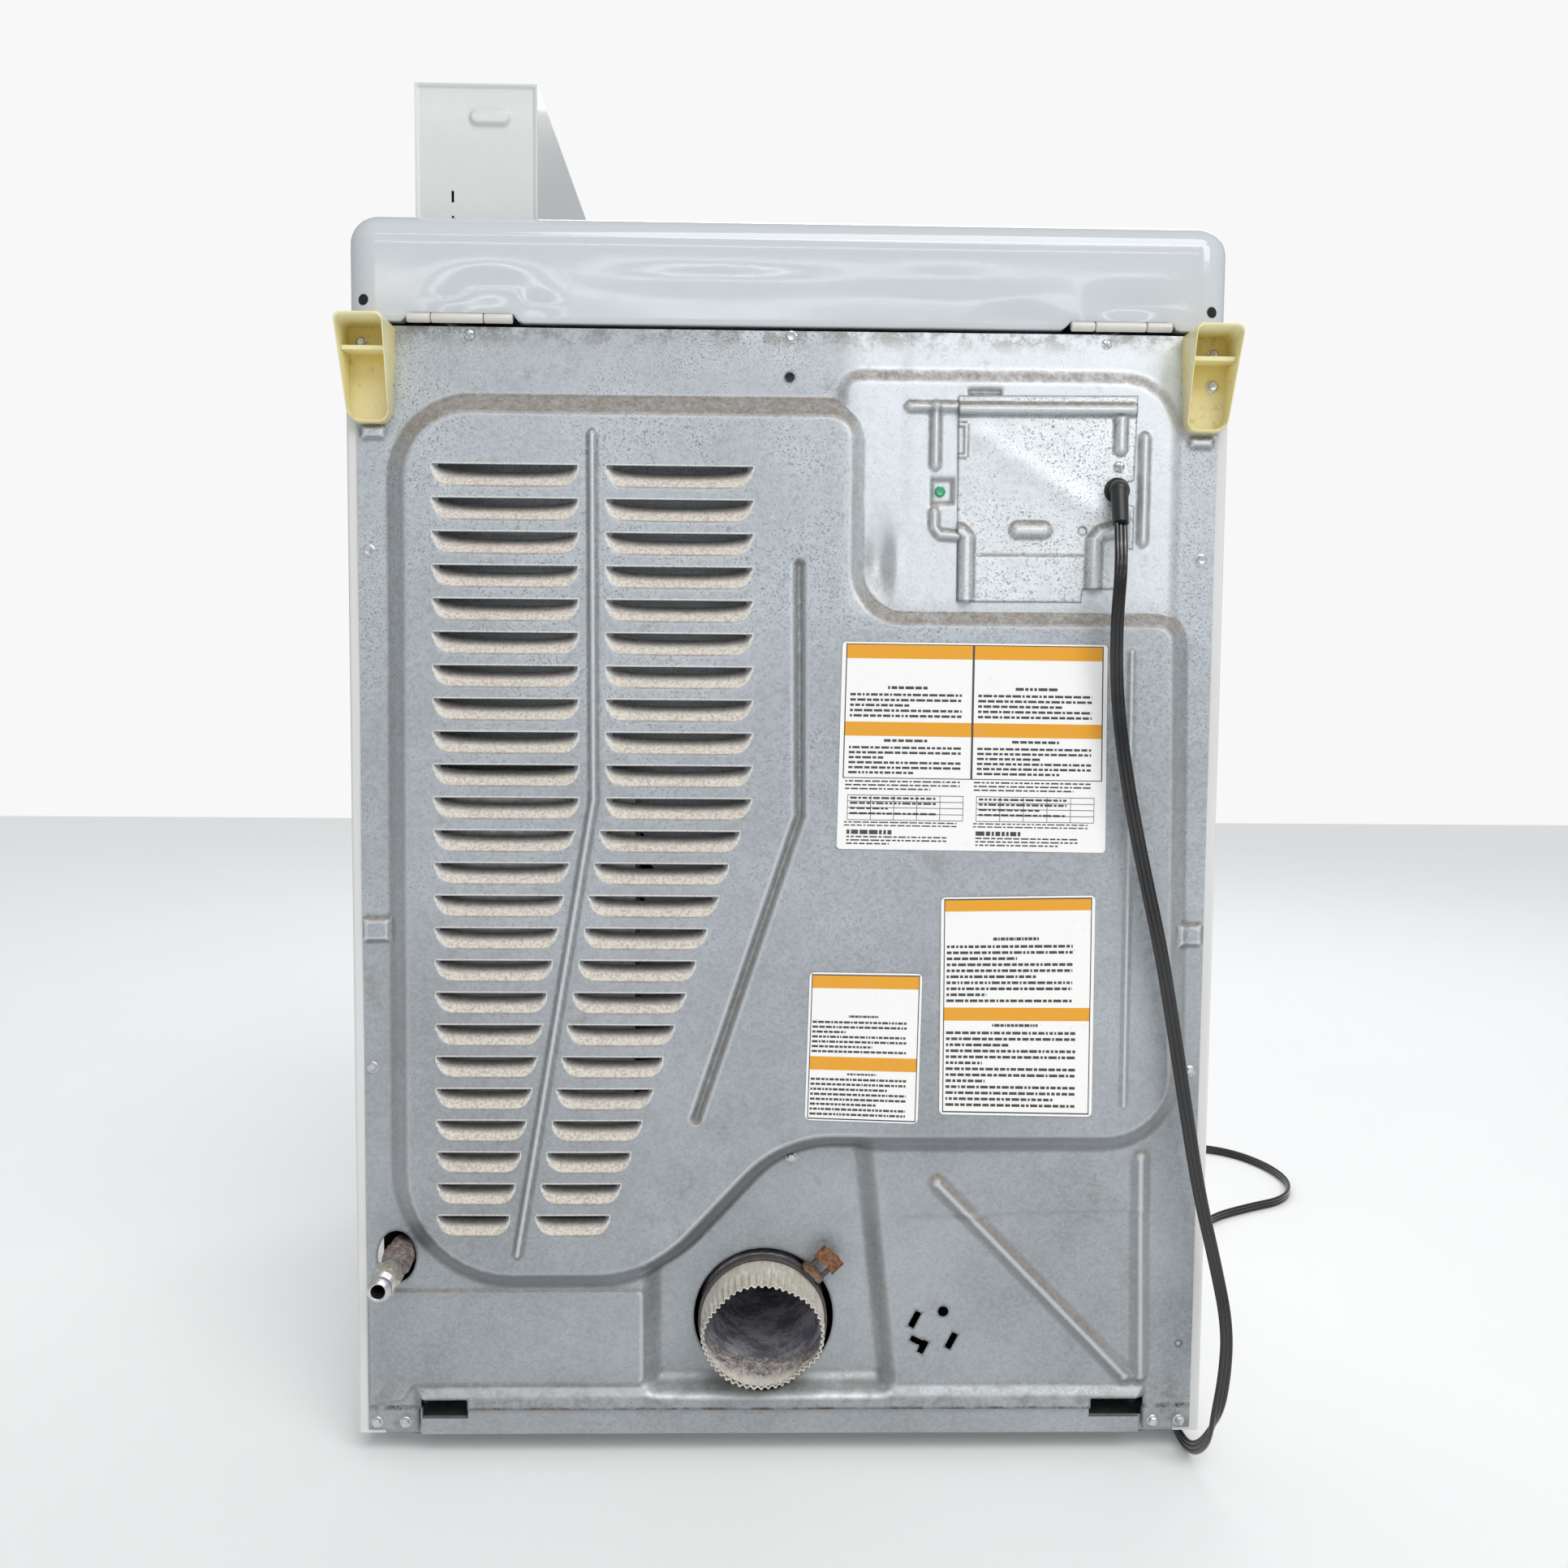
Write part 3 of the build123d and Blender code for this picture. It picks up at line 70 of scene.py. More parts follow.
# ---------------------------------------------------------------- material building
class Paint:
    """A Principled material and the nodes that feed it. Coordinates are the piece's own, in metres."""

    def __init__(self, name, **sockets):
        self.material = bpy.data.materials.new(name)
        self.material.use_nodes = True
        self.tree = self.material.node_tree
        self.shader = self.tree.nodes["Principled BSDF"]
        self.place = self.tree.nodes.new("ShaderNodeTexCoord").outputs["Object"]
        for key, value in sockets.items():
            self.set(key.replace("_", " "), value)

    def set(self, socket, value):
        target = self.shader.inputs[socket]
        if isinstance(value, bpy.types.NodeSocket):
            self.tree.links.new(value, target)
        elif isinstance(value, tuple) and len(value) == 3 and target.type == "RGBA":
            target.default_value = (*value, 1)
        else:
            target.default_value = value

    def node(self, kind, inputs=(), **attributes):
        made = self.tree.nodes.new(kind)
        for key, value in attributes.items():
            setattr(made, key, value)
        for key, value in dict(inputs).items():
            if isinstance(value, bpy.types.NodeSocket):
                self.tree.links.new(value, made.inputs[key])
            else:
                made.inputs[key].default_value = value
        return made

    def stretched(self, x, y, z):
        return self.node(
            "ShaderNodeVectorMath", {0: self.place, 1: (x, y, z)}, operation="MULTIPLY"
        ).outputs[0]

    def noise(self, scale, detail=3.0, rough=0.6, at=None):
        return self.node(
            "ShaderNodeTexNoise",
            {"Vector": at or self.place, "Scale": scale, "Detail": detail, "Roughness": rough, "Distortion": 0.0},
        ).outputs["Fac"]

    def cells(self, scale):
        return self.node(
            "ShaderNodeTexVoronoi", {"Vector": self.place, "Scale": scale}, feature="F1"
        ).outputs["Color"]

    def axis(self, index, source=None):
        return self.node("ShaderNodeSeparateXYZ", {0: source or self.place}).outputs[index]

    def normal(self, index):
        return self.axis(index, self.node("ShaderNodeNewGeometry").outputs["Normal"])

    def range(self, value, low, high, out_low=0.0, out_high=1.0):
        return self.node(
            "ShaderNodeMapRange",
            {"Value": value, "From Min": low, "From Max": high, "To Min": out_low, "To Max": out_high},
            interpolation_type="SMOOTHSTEP",
        ).outputs["Result"]

    def patches(self, scale, detail, rough, low, high, *out):
        """Noise turned into soft-edged patches."""
        return self.range(self.noise(scale, detail, rough), low, high, *out)

    def ramp(self, index, low, high, *out):
        """Soft ramp along one of the piece's own axes."""
        return self.range(self.axis(index), low, high, *out)

    def math(self, operation, a, b=0.0):
        return self.node("ShaderNodeMath", {0: a, 1: b}, operation=operation).outputs[0]

    def times(self, *values):
        result = values[0]
        for value in values[1:]:
            result = self.math("MULTIPLY", result, value)
        return result

    def mix(self, factor, a, b):
        made = self.node("ShaderNodeMix", data_type="RGBA")
        pairs = ((made.inputs["Factor"], factor), (made.inputs[6], a), (made.inputs[7], b))
        for target, value in pairs:
            if isinstance(value, bpy.types.NodeSocket):
                self.tree.links.new(value, target)
            elif isinstance(value, tuple):
                target.default_value = (*value, 1)
            else:
                target.default_value = value
        return made.outputs[2]

    def over(self, tone, colour, *amounts):
        """A colour laid over a tone, as strongly as the product of the amounts."""
        return self.mix(self.times(*amounts), tone, colour)

    def attribute(self, name):
        return self.node("ShaderNodeAttribute", attribute_name=name).outputs["Fac"]

    def bump(self, height, strength, distance):
        made = self.node("ShaderNodeBump", {"Height": height, "Strength": strength, "Distance": distance})
        self.set("Normal", made.outputs["Normal"])


def galvanised(name, dirt=0.35, base=(0.40, 0.43, 0.455), bright=1.0, pressed=False, folds=False):
    """Spangled zinc sheet: fine flakes, grey specks, and brown dust on faces that look up, with painted light: lighter
    towards the top, painted shade on faces that look down or sideways and in hollows, and painted highlights along
    crests.
    """
    paint = Paint(name)
    flake = paint.node("ShaderNodeSeparateColor", {0: paint.cells(420)}).outputs[0]
    # painted light: the sheet is lighter towards the top, mixing lighter and darker copies of its tone by height,
    # broken up by random broad patches
    light = tuple(min(1.0, 1.50 * channel * bright) for channel in base)
    dark = tuple(0.74 * channel * bright for channel in base)
    height, cloud = paint.ramp(2, 0.10, 0.90), paint.patches(6, 5, 0.65, 0.28, 0.72)
    tone = paint.mix(paint.math("ADD", paint.times(height, 0.50), paint.times(cloud, 0.42)), dark, light)
    tone = paint.over(tone, (0.74, 0.78, 0.82), paint.range(flake, 0.2, 1), 0.13)
    tone = paint.over(tone, (0.20, 0.22, 0.23), paint.range(flake, 0.35, 0.0), 0.09)
    coarse = paint.patches(620, 2, 0.6, 0.56, 0.64), paint.patches(12, 4, 0.75, 0.36, 0.60)
    tone = paint.over(tone, (0.14, 0.145, 0.135), *coarse, paint.ramp(2, 0.25, 0.85, 0.30, 1.0), 0.75)
    fine = paint.patches(1250, 2, 0.7, 0.57, 0.63), paint.ramp(2, 0.60, 0.86, 0.12, 1.0)
    tone = paint.over(tone, (0.155, 0.155, 0.145), *fine, paint.patches(17, 5, 0.8, 0.42, 0.60, 0.15, 1.0), 0.60)
    up = paint.range(paint.normal(2), 0.05, 0.40)
    underside_shade = paint.range(paint.normal(2), -0.08, -0.60)
    # grime patches break up both the real dust and the painted shade on sideways walls
    grime = paint.patches(150, 5, 0.8, 0.30, 0.66, 0.50, 1.0)
    dusted = paint.times(up, grime, paint.ramp(2, 0.062, 0.110, 0.12, 1.0))
    if pressed:
        # painted light: the junction area and the strip of flange above it are painted lighter
        painted_junction_light = paint.ramp(0, -0.035, -0.060), paint.ramp(2, 0.672, 0.700), paint.ramp(0, -0.312, -0.296)
        tone = paint.over(tone, (0.88, 0.92, 0.95), *painted_junction_light, 0.60)
    dust_tone = paint.mix(paint.patches(330, 4, 0.8, 0.36, 0.62), (0.285, 0.228, 0.172), (0.165, 0.132, 0.100))
    tone = paint.over(tone, dust_tone, dusted, 0.88)
    # painted shade on faces that look down
    tone = paint.over(tone, (0.10, 0.105, 0.115), underside_shade, 0.42)
    # painted shade on walls that face sideways, broken up by the grime patches
    side_facing_shade = paint.range(paint.math("ABSOLUTE", paint.normal(0)), 0.10, 0.55)
    tone = paint.over(tone, (0.22, 0.215, 0.205), side_facing_shade, grime, 0.42)
    tone = paint.over(tone, (0.22, 0.19, 0.15), paint.patches(26, 5, 0.75, 0.58, 0.74), dirt)
    metal = paint.math("SUBTRACT", 0.58, paint.times(dusted, 0.55))
    if pressed or folds:
        bend = paint.attribute("bend")
        crease_dirt_and_shade = paint.patches(90, 4, 0.7, 0.30, 0.60, 0.45, 1.0)
        # painted highlight along convex bends
        tone = paint.over(tone, (0.83, 0.86, 0.89), paint.range(bend, 0.25, 0.95), 0.50)
        # dirt and painted shade in concave bends
        tone = paint.over(tone, (0.17, 0.155, 0.14), paint.range(bend, -0.20, -0.90), crease_dirt_and_shade, 0.62)
        # painted shadow with dirt along the edges of openings and of the plate
        tone = paint.over(tone, (0.05, 0.047, 0.045), paint.attribute("rim"), 0.80)
    if pressed:
        cut = paint.attribute("shade")
        # painted shadow under the cut edge of each louver
        tone = paint.over(tone, (0.07, 0.075, 0.08), paint.range(cut, 0.62, 0.98), 0.75)
        # pale dust and painted light on the upward face of each louver flap
        flap = paint.times(paint.range(cut, 0.02, 0.14), paint.range(cut, 0.78, 0.42))
        tone = paint.over(tone, (0.80, 0.735, 0.655), flap, paint.patches(420, 4, 0.75, 0.62, 0.42, 0.45, 1.0), 0.88)
        metal = paint.math("MAXIMUM", paint.math("SUBTRACT", metal, paint.times(flap, 0.5)), 0.0)
        from_seam = paint.math("ABSOLUTE", paint.math("SUBTRACT", paint.axis(2), CAVITY_LIP))
        rust = paint.range(from_seam, 0.0032, 0.0006), paint.patches(75, 5, 0.75, 0.42, 0.62)
        tone = paint.over(tone, (0.10, 0.055, 0.030), *rust)
        foot = paint.ramp(2, 0.085, 0.035), paint.patches(55, 5, 0.75, 0.45, 0.66)
        tone = paint.over(tone, (0.20, 0.165, 0.13), *foot, 0.6)
        top = paint.ramp(2, 0.882, 0.898), paint.patches(60, 5, 0.8, 0.40, 0.60)
        tone = paint.over(tone, (0.15, 0.12, 0.09), *top, 0.55)
    paint.set("Metallic", metal)
    paint.set("Base Color", tone)
    rough = paint.math("ADD", 0.34, paint.times(flake, 0.20))
    paint.set("Roughness", paint.math("ADD", rough, paint.times(dusted, 0.4)))
    grain = paint.math("ADD", paint.times(paint.noise(1500, 2, 0.7), 0.5), paint.noise(60, 3, 0.5))
    paint.bump(grain, 0.3, 0.0012)
    return paint


def enamel(name, colour, rough=0.22, peel=0.1, grime=0.25):
    """Glossy painted steel with orange peel and scattered specks of grime."""
    paint = Paint(name, Roughness=rough, Coat_Weight=0.35, Coat_Roughness=0.08)
    darker = tuple(0.92 * channel for channel in colour)
    tone = paint.over(colour, darker, paint.patches(7, 4, 0.6, 0.3, 0.7), 0.35)
    specks = paint.patches(420, 2, 0.8, 0.70, 0.76), paint.patches(11, 3, 0.6, 0.5, 0.7)
    paint.set("Base Color", paint.over(tone, (0.30, 0.27, 0.22), *specks, grime))
    ripple = paint.math("ADD", paint.times(paint.noise(700, 2, 0.5), 0.35), paint.noise(90, 2, 0.5))
    paint.bump(ripple, peel, 0.0008)
    return paint


def plain_metal(name, colour, rough=0.35, metallic=0.9, wear=0.3, dull=(0.2, 0.19, 0.18)):
    """Bare or painted metal with dull patches."""
    paint = Paint(name, Metallic=metallic)
    patches = paint.patches(160, 4, 0.7, 0.35, 0.75)
    paint.set("Base Color", paint.over(colour, dull, patches, wear))
    paint.set("Roughness", paint.math("ADD", rough, paint.times(patches, 0.25)))
    paint.bump(paint.noise(900, 3, 0.6), 0.12, 0.0005)
    return paint


def rusty(name):
    """Dark and orange rust."""
    paint = Paint(name, Metallic=0.2, Roughness=0.82)
    blotch = paint.noise(260, 5, 0.75)
    tone = paint.mix(paint.range(blotch, 0.35, 0.65), (0.10, 0.052, 0.028), (0.33, 0.135, 0.045))
    paint.set("Base Color", paint.over(tone, (0.20, 0.17, 0.13), paint.patches(90, 3, 0.6, 0.5, 0.7)))
    paint.bump(blotch, 0.7, 0.0012)
    return paint


def plastic(name, colour, rough=0.45, mottle=0.25, grain=1300):
    """Plastic, rubber or felt with faint darker patches."""
    paint = Paint(name, Roughness=rough)
    darker = tuple(0.7 * channel for channel in colour)
    paint.set("Base Color", paint.over(colour, darker, paint.patches(55, 4, 0.6, 0.35, 0.7), mottle))
    paint.bump(paint.noise(grain, 2, 0.6), 0.14, 0.0005)
    return paint


PANEL = galvanised("rear_galvanised", pressed=True)
PLATE = galvanised("plate_galvanised", dirt=0.2, base=(0.57, 0.60, 0.625), bright=1.08, folds=True)
ZINC = galvanised("zinc_sheet", dirt=0.2)
WHITE = enamel("white_enamel", (0.595, 0.625, 0.655), rough=0.08, peel=0.05, grime=0.4)
WHITE_SIDE = enamel("white_side_enamel", (0.70, 0.70, 0.695), rough=0.26)
METER = enamel("meter_paint", (0.665, 0.69, 0.675), rough=0.34, peel=0.35, grime=0.4)
DRUM = enamel("drum_enamel", (0.70, 0.71, 0.72), rough=0.35)
HINGE = enamel("hinge_paint", (0.66, 0.64, 0.59), rough=0.4, grime=0.9)
BRIGHT = plain_metal("bright_zinc", (0.66, 0.67, 0.68), 0.25)
DUCT = plain_metal("duct_steel", (0.55, 0.56, 0.57), 0.38)
DARK_STEEL = plain_metal("dark_steel", (0.085, 0.08, 0.08), 0.6, 0.35, 0.55, (0.20, 0.17, 0.14))
MOTOR = plain_metal("motor_black", (0.05, 0.05, 0.055), 0.45, 0.3, 0.4, (0.12, 0.11, 0.10))
ALUMINIUM = plain_metal("cast_aluminium", (0.62, 0.63, 0.64), 0.45)
RUST = rusty("rusty_steel")
GREY = plastic("grey_plastic", (0.22, 0.23, 0.25))
BLACK = plastic("black_plastic", (0.02, 0.02, 0.02), 0.4)
PALE = plastic("pale_plastic", (0.66, 0.67, 0.68), 0.42)
FASCIA = plastic("fascia_plastic", (0.74, 0.74, 0.72), 0.38)
LINT = plastic("lint_plastic", (0.40, 0.44, 0.50), 0.6, 0.5, 700)
RUBBER = plastic("black_rubber", (0.025, 0.025, 0.025), 0.7, 0.4, 600)
BOARD = plastic("circuit_board", (0.03, 0.13, 0.06), 0.4)
FELT = plastic("gasket_felt", (0.16, 0.16, 0.16), 0.95, 0.5, 2200)

VINYL = Paint("cord_vinyl", Roughness=0.2, Coat_Weight=0.5, Coat_Roughness=0.09)
vinyl_wear = VINYL.patches(70, 4, 0.7, 0.45, 0.75)
VINYL.set("Base Color", VINYL.over((0.004, 0.004, 0.005), (0.03, 0.026, 0.024), vinyl_wear, 0.3))
VINYL.bump(VINYL.noise(500, 2, 0.6), 0.08, 0.0005)


def use(paint, *names):
    """Puts a material on CAD nodes."""
    for name in names:
        slots = NODES[name].data.materials
        slots.clear()
        slots.append(paint.material)


use(WHITE_SIDE, "side_panel_left", "side_panel_right")
use(WHITE, "front_panel", "access_panel", "door_outer", "door_inner")
use(FASCIA, "control_fascia")
use(METER, "meter_case", "coin_drawer")
use(HINGE, "cover_hinge_knuckles", "cover_hinge_pins")
use(ZINC, "base_pan", "rear_bulkhead", "motor_bracket")
use(DRUM, "front_bulkhead", "drum_shell")
use(DUCT, "blower_housing", "burner_tube", "exhaust_duct", "heat_duct", "gas_pipe")
use(BRIGHT, "coin_lock", "door_hinge_brackets", "gas_fitting", "idler_arm", "motor_pulley", "panel_screws",
    "roller_shafts", "shutoff_lever", "leg_front_left", "leg_front_right", "leg_rear_left", "leg_rear_right")
use(GREY, "button_high", "button_low", "button_medium", "button_start", "door_handle")
use(BLACK, "blower_wheel", "idler_pulley", "cord_strain_relief")
use(PALE, "drum_baffles")
use(LINT, "lint_screen")
use(RUBBER, "drum_belt", "drum_roller_left", "drum_roller_right")
use(BOARD, "control_board")
use(FELT, "door_gasket")
use(MOTOR, "motor_body")
use(ALUMINIUM, "gas_valve")
use(RUST, "clamp_screw")
use(DARK_STEEL, "exhaust_clamp")
use(VINYL, "power_plug")


# ---------------------------------------------------------------- mesh building
def piece(name, vertices, faces, paint, body, slot, smooth=True, material_index=None):
    """A mesh in millimetres that rides on a body."""
    mesh = bpy.data.meshes.new(name)
    mesh.from_pydata([tuple(v) for v in np.asarray(vertices, float) * MM], [], [tuple(f) for f in faces])
    paints = paint if isinstance(paint, (list, tuple)) else [paint]
    for entry in paints:
        mesh.materials.append(entry.material)
    mesh.polygons.foreach_set("use_smooth", [smooth] * len(mesh.polygons))
    if material_index is not None:
        mesh.polygons.foreach_set("material_index", list(material_index))
    mesh.validate()
    mesh.update()
    made = bpy.data.objects.new(name, mesh)
    bpy.context.scene.collection.objects.link(made)
    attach(made, body)
    return made


def sharpen(made, angle=40):
    """Smooth shading that keeps edges sharper than the angle."""
    mesh = made.data
    build = bmesh.new()
    build.from_mesh(mesh)
    for edge in build.edges:
        if len(edge.link_faces) == 2:
            edge.smooth = edge.calc_face_angle(0) < math.radians(angle)
    build.to_mesh(mesh)
    build.free()
    return made


def tube(rings, closed=True):
    """Faces that join equal rings of points into a tube; returns all points and faces."""
    count = len(rings[0])
    points = [point for ring in rings for point in ring]
    faces = []
    for i in range(len(rings) - 1):
        for j in range(count if closed else count - 1):
            k = (j + 1) % count
            faces.append((i * count + j, i * count + k, (i + 1) * count + k, (i + 1) * count + j))
    return points, faces


def join(parts):
    """One list of points and one of faces from several."""
    points, faces = [], []
    for part_points, part_faces in parts:
        base = len(points)
        points += part_points
        faces += [tuple(base + k for k in face) for face in part_faces]
    return points, faces


def turns(count):
    """Equal steps around a full turn."""
    return [2 * math.pi * k / count for k in range(count)]


def hexagon(angle):
    """Radius at an angle of a hexagon whose flats are 1 from its centre."""
    sixth = math.pi / 3
    return math.cos(sixth / 2) / math.cos(angle % sixth - sixth / 2)


def soft(t):
    """Smooth step from 0 to 1."""
    t = np.clip(t, 0.0, 1.0)
    return t * t * (3 - 2 * t)


def run_distance(x, z, points):
    """Distance from each (x, z) to a run of straight lines."""
    best = np.full(np.shape(x), 1e9)
    for (ax, az), (bx, bz) in zip(points, points[1:]):
        dx, dz = bx - ax, bz - az
        t = np.clip(((x - ax) * dx + (z - az) * dz) / (dx * dx + dz * dz), 0, 1)
        best = np.minimum(best, np.hypot(x - ax - t * dx, z - az - t * dz))
    return best


def rounded(points, radii, steps=10):
    """Outline with each corner turned into an arc."""
    outline = []
    count = len(points)
    for i in range(count):
        before, corner, after = (np.array(points[(i + k) % count], float) for k in (-1, 0, 1))
        a, b = before - corner, after - corner
        a, b = a / np.linalg.norm(a), b / np.linalg.norm(b)
        half = math.acos(np.clip(a @ b, -1, 1)) / 2
        reach = radii[i] / math.tan(half)
        middle = corner + (a + b) / np.linalg.norm(a + b) * radii[i] / math.sin(half)
        start, end = corner + a * reach - middle, corner + b * reach - middle
        first = math.atan2(start[1], start[0])
        turn = (math.atan2(end[1], end[0]) - first + math.pi) % (2 * math.pi) - math.pi
        for k in range(steps + 1):
            angle = first + turn * k / steps
            outline.append(middle + radii[i] * np.array([math.cos(angle), math.sin(angle)]))
    return np.array(outline)


def inside(x, z, outline):
    """Signed distance to a closed outline, positive inside."""
    closed = np.vstack([outline, outline[:1]])
    crossing = np.zeros(np.shape(x), bool)
    for (ax, az), (bx, bz) in zip(closed, closed[1:]):
        if az != bz:
            spans = (az > z) != (bz > z)
            crossing ^= spans & (x < (bx - ax) * (z - az) / (bz - az) + ax)
    distance = run_distance(x, z, closed)
    return np.where(crossing, distance, -distance)


def ridge(distance, half, slope=2.5):
    """Cross-section of a pressed bead, 1 on its crown and 0 beside it."""
    return soft((half + slope / 2 - distance) / (slope + half * 0.6))


def beads(level, x, z, runs):
    """Adds pressed beads to a surface; each is a height, a half width, a slope and the points it follows."""
    for height, half, slope, points in runs:
        level = level + height * ridge(run_distance(x, z, points), half, slope)
    return level


# ---------------------------------------------------------------- power cord
EXIT = Vector((-255, REAR + 13, 781))
EXIT_DIR = Vector((0.04, 0.42, -0.91)).normalized()
CORD_START = EXIT + EXIT_DIR * 30
CORD_HALF = 5.5          # half the flat cord's width, and so its height where it lies on its edge, mm
CORE_PITCH, CORE_RADIUS, WEB = 3.4, 2.1, 1.25    # of the three cores, and half the web between them, mm
CORD_ROUTE = [
    CORD_START, CORD_START + EXIT_DIR * 31, (-250, 357, 677), (-253, 350, 622), (-262, 352, 556), (-277, 349, 490),
    (-292, 352, 425), (-305, 349, 360), (-316, 351, 295), (-328, 350, 230), (-342, 354, 172), (-350, 363, 126),
    (-347, 369, 88), (-341, 369, 53), (-337, 352, 23), (-334, 323, 5.5), (-333, 284, 5.5), (-338, 235, 5.5),
    (-348, 178, 5.5), (-364, 115, 5.5), (-390, 35, 5.5), (-422, -50, 5.5), (-462, -130, 5.5), (-510, -200, 5.5),
    (-568, -236, 5.5), (-622, -262, 5.5), (-650, -318, 5.5), (-645, -385, 5.5), (-614, -445, 5.5),
    (-560, -470, 5.5), (-514, -458, 7), (-478, -447, 9),
]


def smooth_line(points):
    """Points along the smooth curve that a route's points control, mm."""
    data = bpy.data.curves.new("route", "CURVE")
    data.dimensions = "3D"
    spline = data.splines.new("NURBS")
    spline.points.add(len(points) - 1)
    for target, point in zip(spline.points, points):
        target.co = (*point, 1)
    spline.order_u = 3
    spline.use_endpoint_u = True
    spline.resolution_u = 10
    carrier = bpy.data.objects.new("route", data)
    bpy.context.scene.collection.objects.link(carrier)
    mesh = bpy.data.meshes.new_from_object(carrier)
    line = [vertex.co.copy() for vertex in mesh.vertices]
    bpy.data.meshes.remove(mesh)
    bpy.data.objects.remove(carrier)
    bpy.data.curves.remove(data)
    return line


def lobes(steps=15):
    """Outline of a flat three-core cord, across and up, mm."""
    upper = []
    for k in range(steps + 1):
        x = -CORD_HALF * math.cos(math.pi * k / steps)
        nearest = min((-CORE_PITCH, 0, CORE_PITCH), key=lambda c: abs(x - c))
        core = math.sqrt(max(CORE_RADIUS ** 2 - (x - nearest) ** 2, 0))
        upper.append((x, max(core, WEB if abs(x) < 4.6 else 0)))
    return upper + [(x, -y) for x, y in upper[-2:0:-1]]


def cord_mesh(line):
    """Sweeps the flat section along a line, wide across the back and on its edge on the floor."""
    section = lobes()
    rings = []
    for i, point in enumerate(line):
        along = (line[min(i + 1, len(line) - 1)] - line[max(i - 1, 0)]).normalized()
        turn = float(soft((120 - point.z) / 110))
        twist = 0.35 * math.sin(point.z / 90) * (1 - turn)
        wide = Vector((math.cos(turn * math.pi / 2), twist, -math.sin(turn * math.pi / 2)))
        wide = (wide - wide.dot(along) * along).normalized()
        thin = along.cross(wide)
        rings.append([tuple(point + wide * x + thin * y) for x, y in section])
    points, faces = tube(rings)
    count = len(section)
    faces.append(tuple(range(count)))
    faces.append(tuple(range(len(points) - count, len(points))))
    return points, faces


cord_line = smooth_line(CORD_ROUTE)
cord_piece = sharpen(piece("power_lead", *cord_mesh(cord_line), VINYL, "cabinet", "cord_vinyl"), 60)
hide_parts("power_cord")

# ---------------------------------------------------------------- rear panel
EMBOSS = rounded(
    ((303, 842), (-55, 842), (-55, 683), (-307, 683), (-315, 262), (0, 262), (105, 149), (306, 149)),
    (58, 25, 35, 20, 58, 90, 110, 90),
)
JUNCTION = rounded(((-42, 866), (-300, 866), (-301, 670), (-42, 670)), (14, 42, 14, 14))
VENT = rounded(((111, 290), (-66, 290), (-92, 54), (111, 54)), (14, 14, 14, 14))
PITCH = 25.68            # from one row of louvers to the next, mm
TOP_ROW = 795.0
ROWS = 24
STRAIGHT_ROWS = 10       # rows above the taper
LONG_BEADS = (
    (4.2, 2.8, 2.5, ((152, 819), (151, 538), (212, 173))),
    (-5.0, 4.6, 4, ((-8, 721), (-10, 526), (70, 284))),
    (2.0, 2.2, 2.5, ((-268.5, 656), (-270.6, 295))),
    (4.6, 6.2, 7, ((-124, 228), (-279, 68))),
    (4.6, 5.6, 7, ((-288, 249), (-292, 68))),
)
CORNER_BEADS = (
    (4.6, 3.4, 3, ((-93, 844), (-130, 844))),
    (4.6, 3.4, 3, ((-113, 844), (-113, 799))),
    (4.6, 3.4, 3, ((-112.8, 763), (-113, 751), (-117, 746), (-131, 745))),
    (4.4, 3.6, 3, ((-276, 822), (-276, 742))),
)
PAD = rounded(((333, 139), (112, 139), (112, 61), (300, 61), (306, 48), (333, 44)), (4, 6, 6, 10, 8, 4), 4)
NUBS = ((312, 331, 815, 825), (312, 334, 423, 442), (-331, -312, 815, 823), (-333, -313, 422, 440))


def louver_spans(row):
    """Left and right louver of a row, as (x0, x1)."""
    taper = max(0, row - STRAIGHT_ROWS)
    return (162 + 4.28 * taper, 275), (28 + 8.5 * taper, 142 + 4.25 * taper)


def panel_height(x, z):
    """Height of the rear panel above its flange, mm."""
    wall = inside(x, z, EMBOSS)
    level = 8.6 * soft((wall + 9.5) / 19) + 1.7 * soft((wall + 9) / 8) + 1.7 * soft((wall - 1) / 8)
    junction = 4 * soft((inside(x, z, JUNCTION) + 9) / 14)
    recess = -12 * soft((inside(x, z, VENT) + 5) / 19)
    level = np.maximum(level, junction) + recess * (1 - level / 12)
    crease = soft((z - 193 + 0.03 * x) / 7) * soft((-84 - x) / 14) * soft((x + 300) / 14)
    level = level + 1.3 * crease * (1 - level / 12)
    level = beads(level, x, z, LONG_BEADS)
    level = level + 1.4 * soft((inside(x, z, PAD) + 2) / 4)
    for x0, x1, z0, z1 in NUBS:
        nub = np.minimum(np.minimum(x - x0, x1 - x), np.minimum(z - z0, z1 - z))
        level = level + 3.5 * soft((nub + 1.0) / 4)
    ledge = np.minimum(np.minimum(x + 298, 298 - x), 61.5 - z)
    level = level + 5.5 * soft(ledge / 11) * (1 - soft((-level - 4) / 6))
    level = beads(level, x, z, CORNER_BEADS)
    slot_rim = np.maximum(np.abs(x + 151) - 13, np.abs(z - 856) - 2.6)
    level = level - 2.6 * soft((1.0 - slot_rim) / 2.2)
    screw_seat = np.maximum(np.abs(x + 119) - 9.0, np.abs(z - 779.5) - 10.0)
    level = level - 3.4 * soft((1.5 - screw_seat) / 3.5)
    dent = np.exp(-(((x + 70) / 10) ** 2 + ((z - 726) / 26) ** 2))
    level = level - 7.0 * dent + 2.2 * np.exp(-(((x + 84) / 6) ** 2 + ((z - 716) / 24) ** 2))
    return level + 0.35 * np.sin(x / 47 + 1.3) * np.sin(z / 61) + 0.25 * np.sin(x / 23 + z / 39)


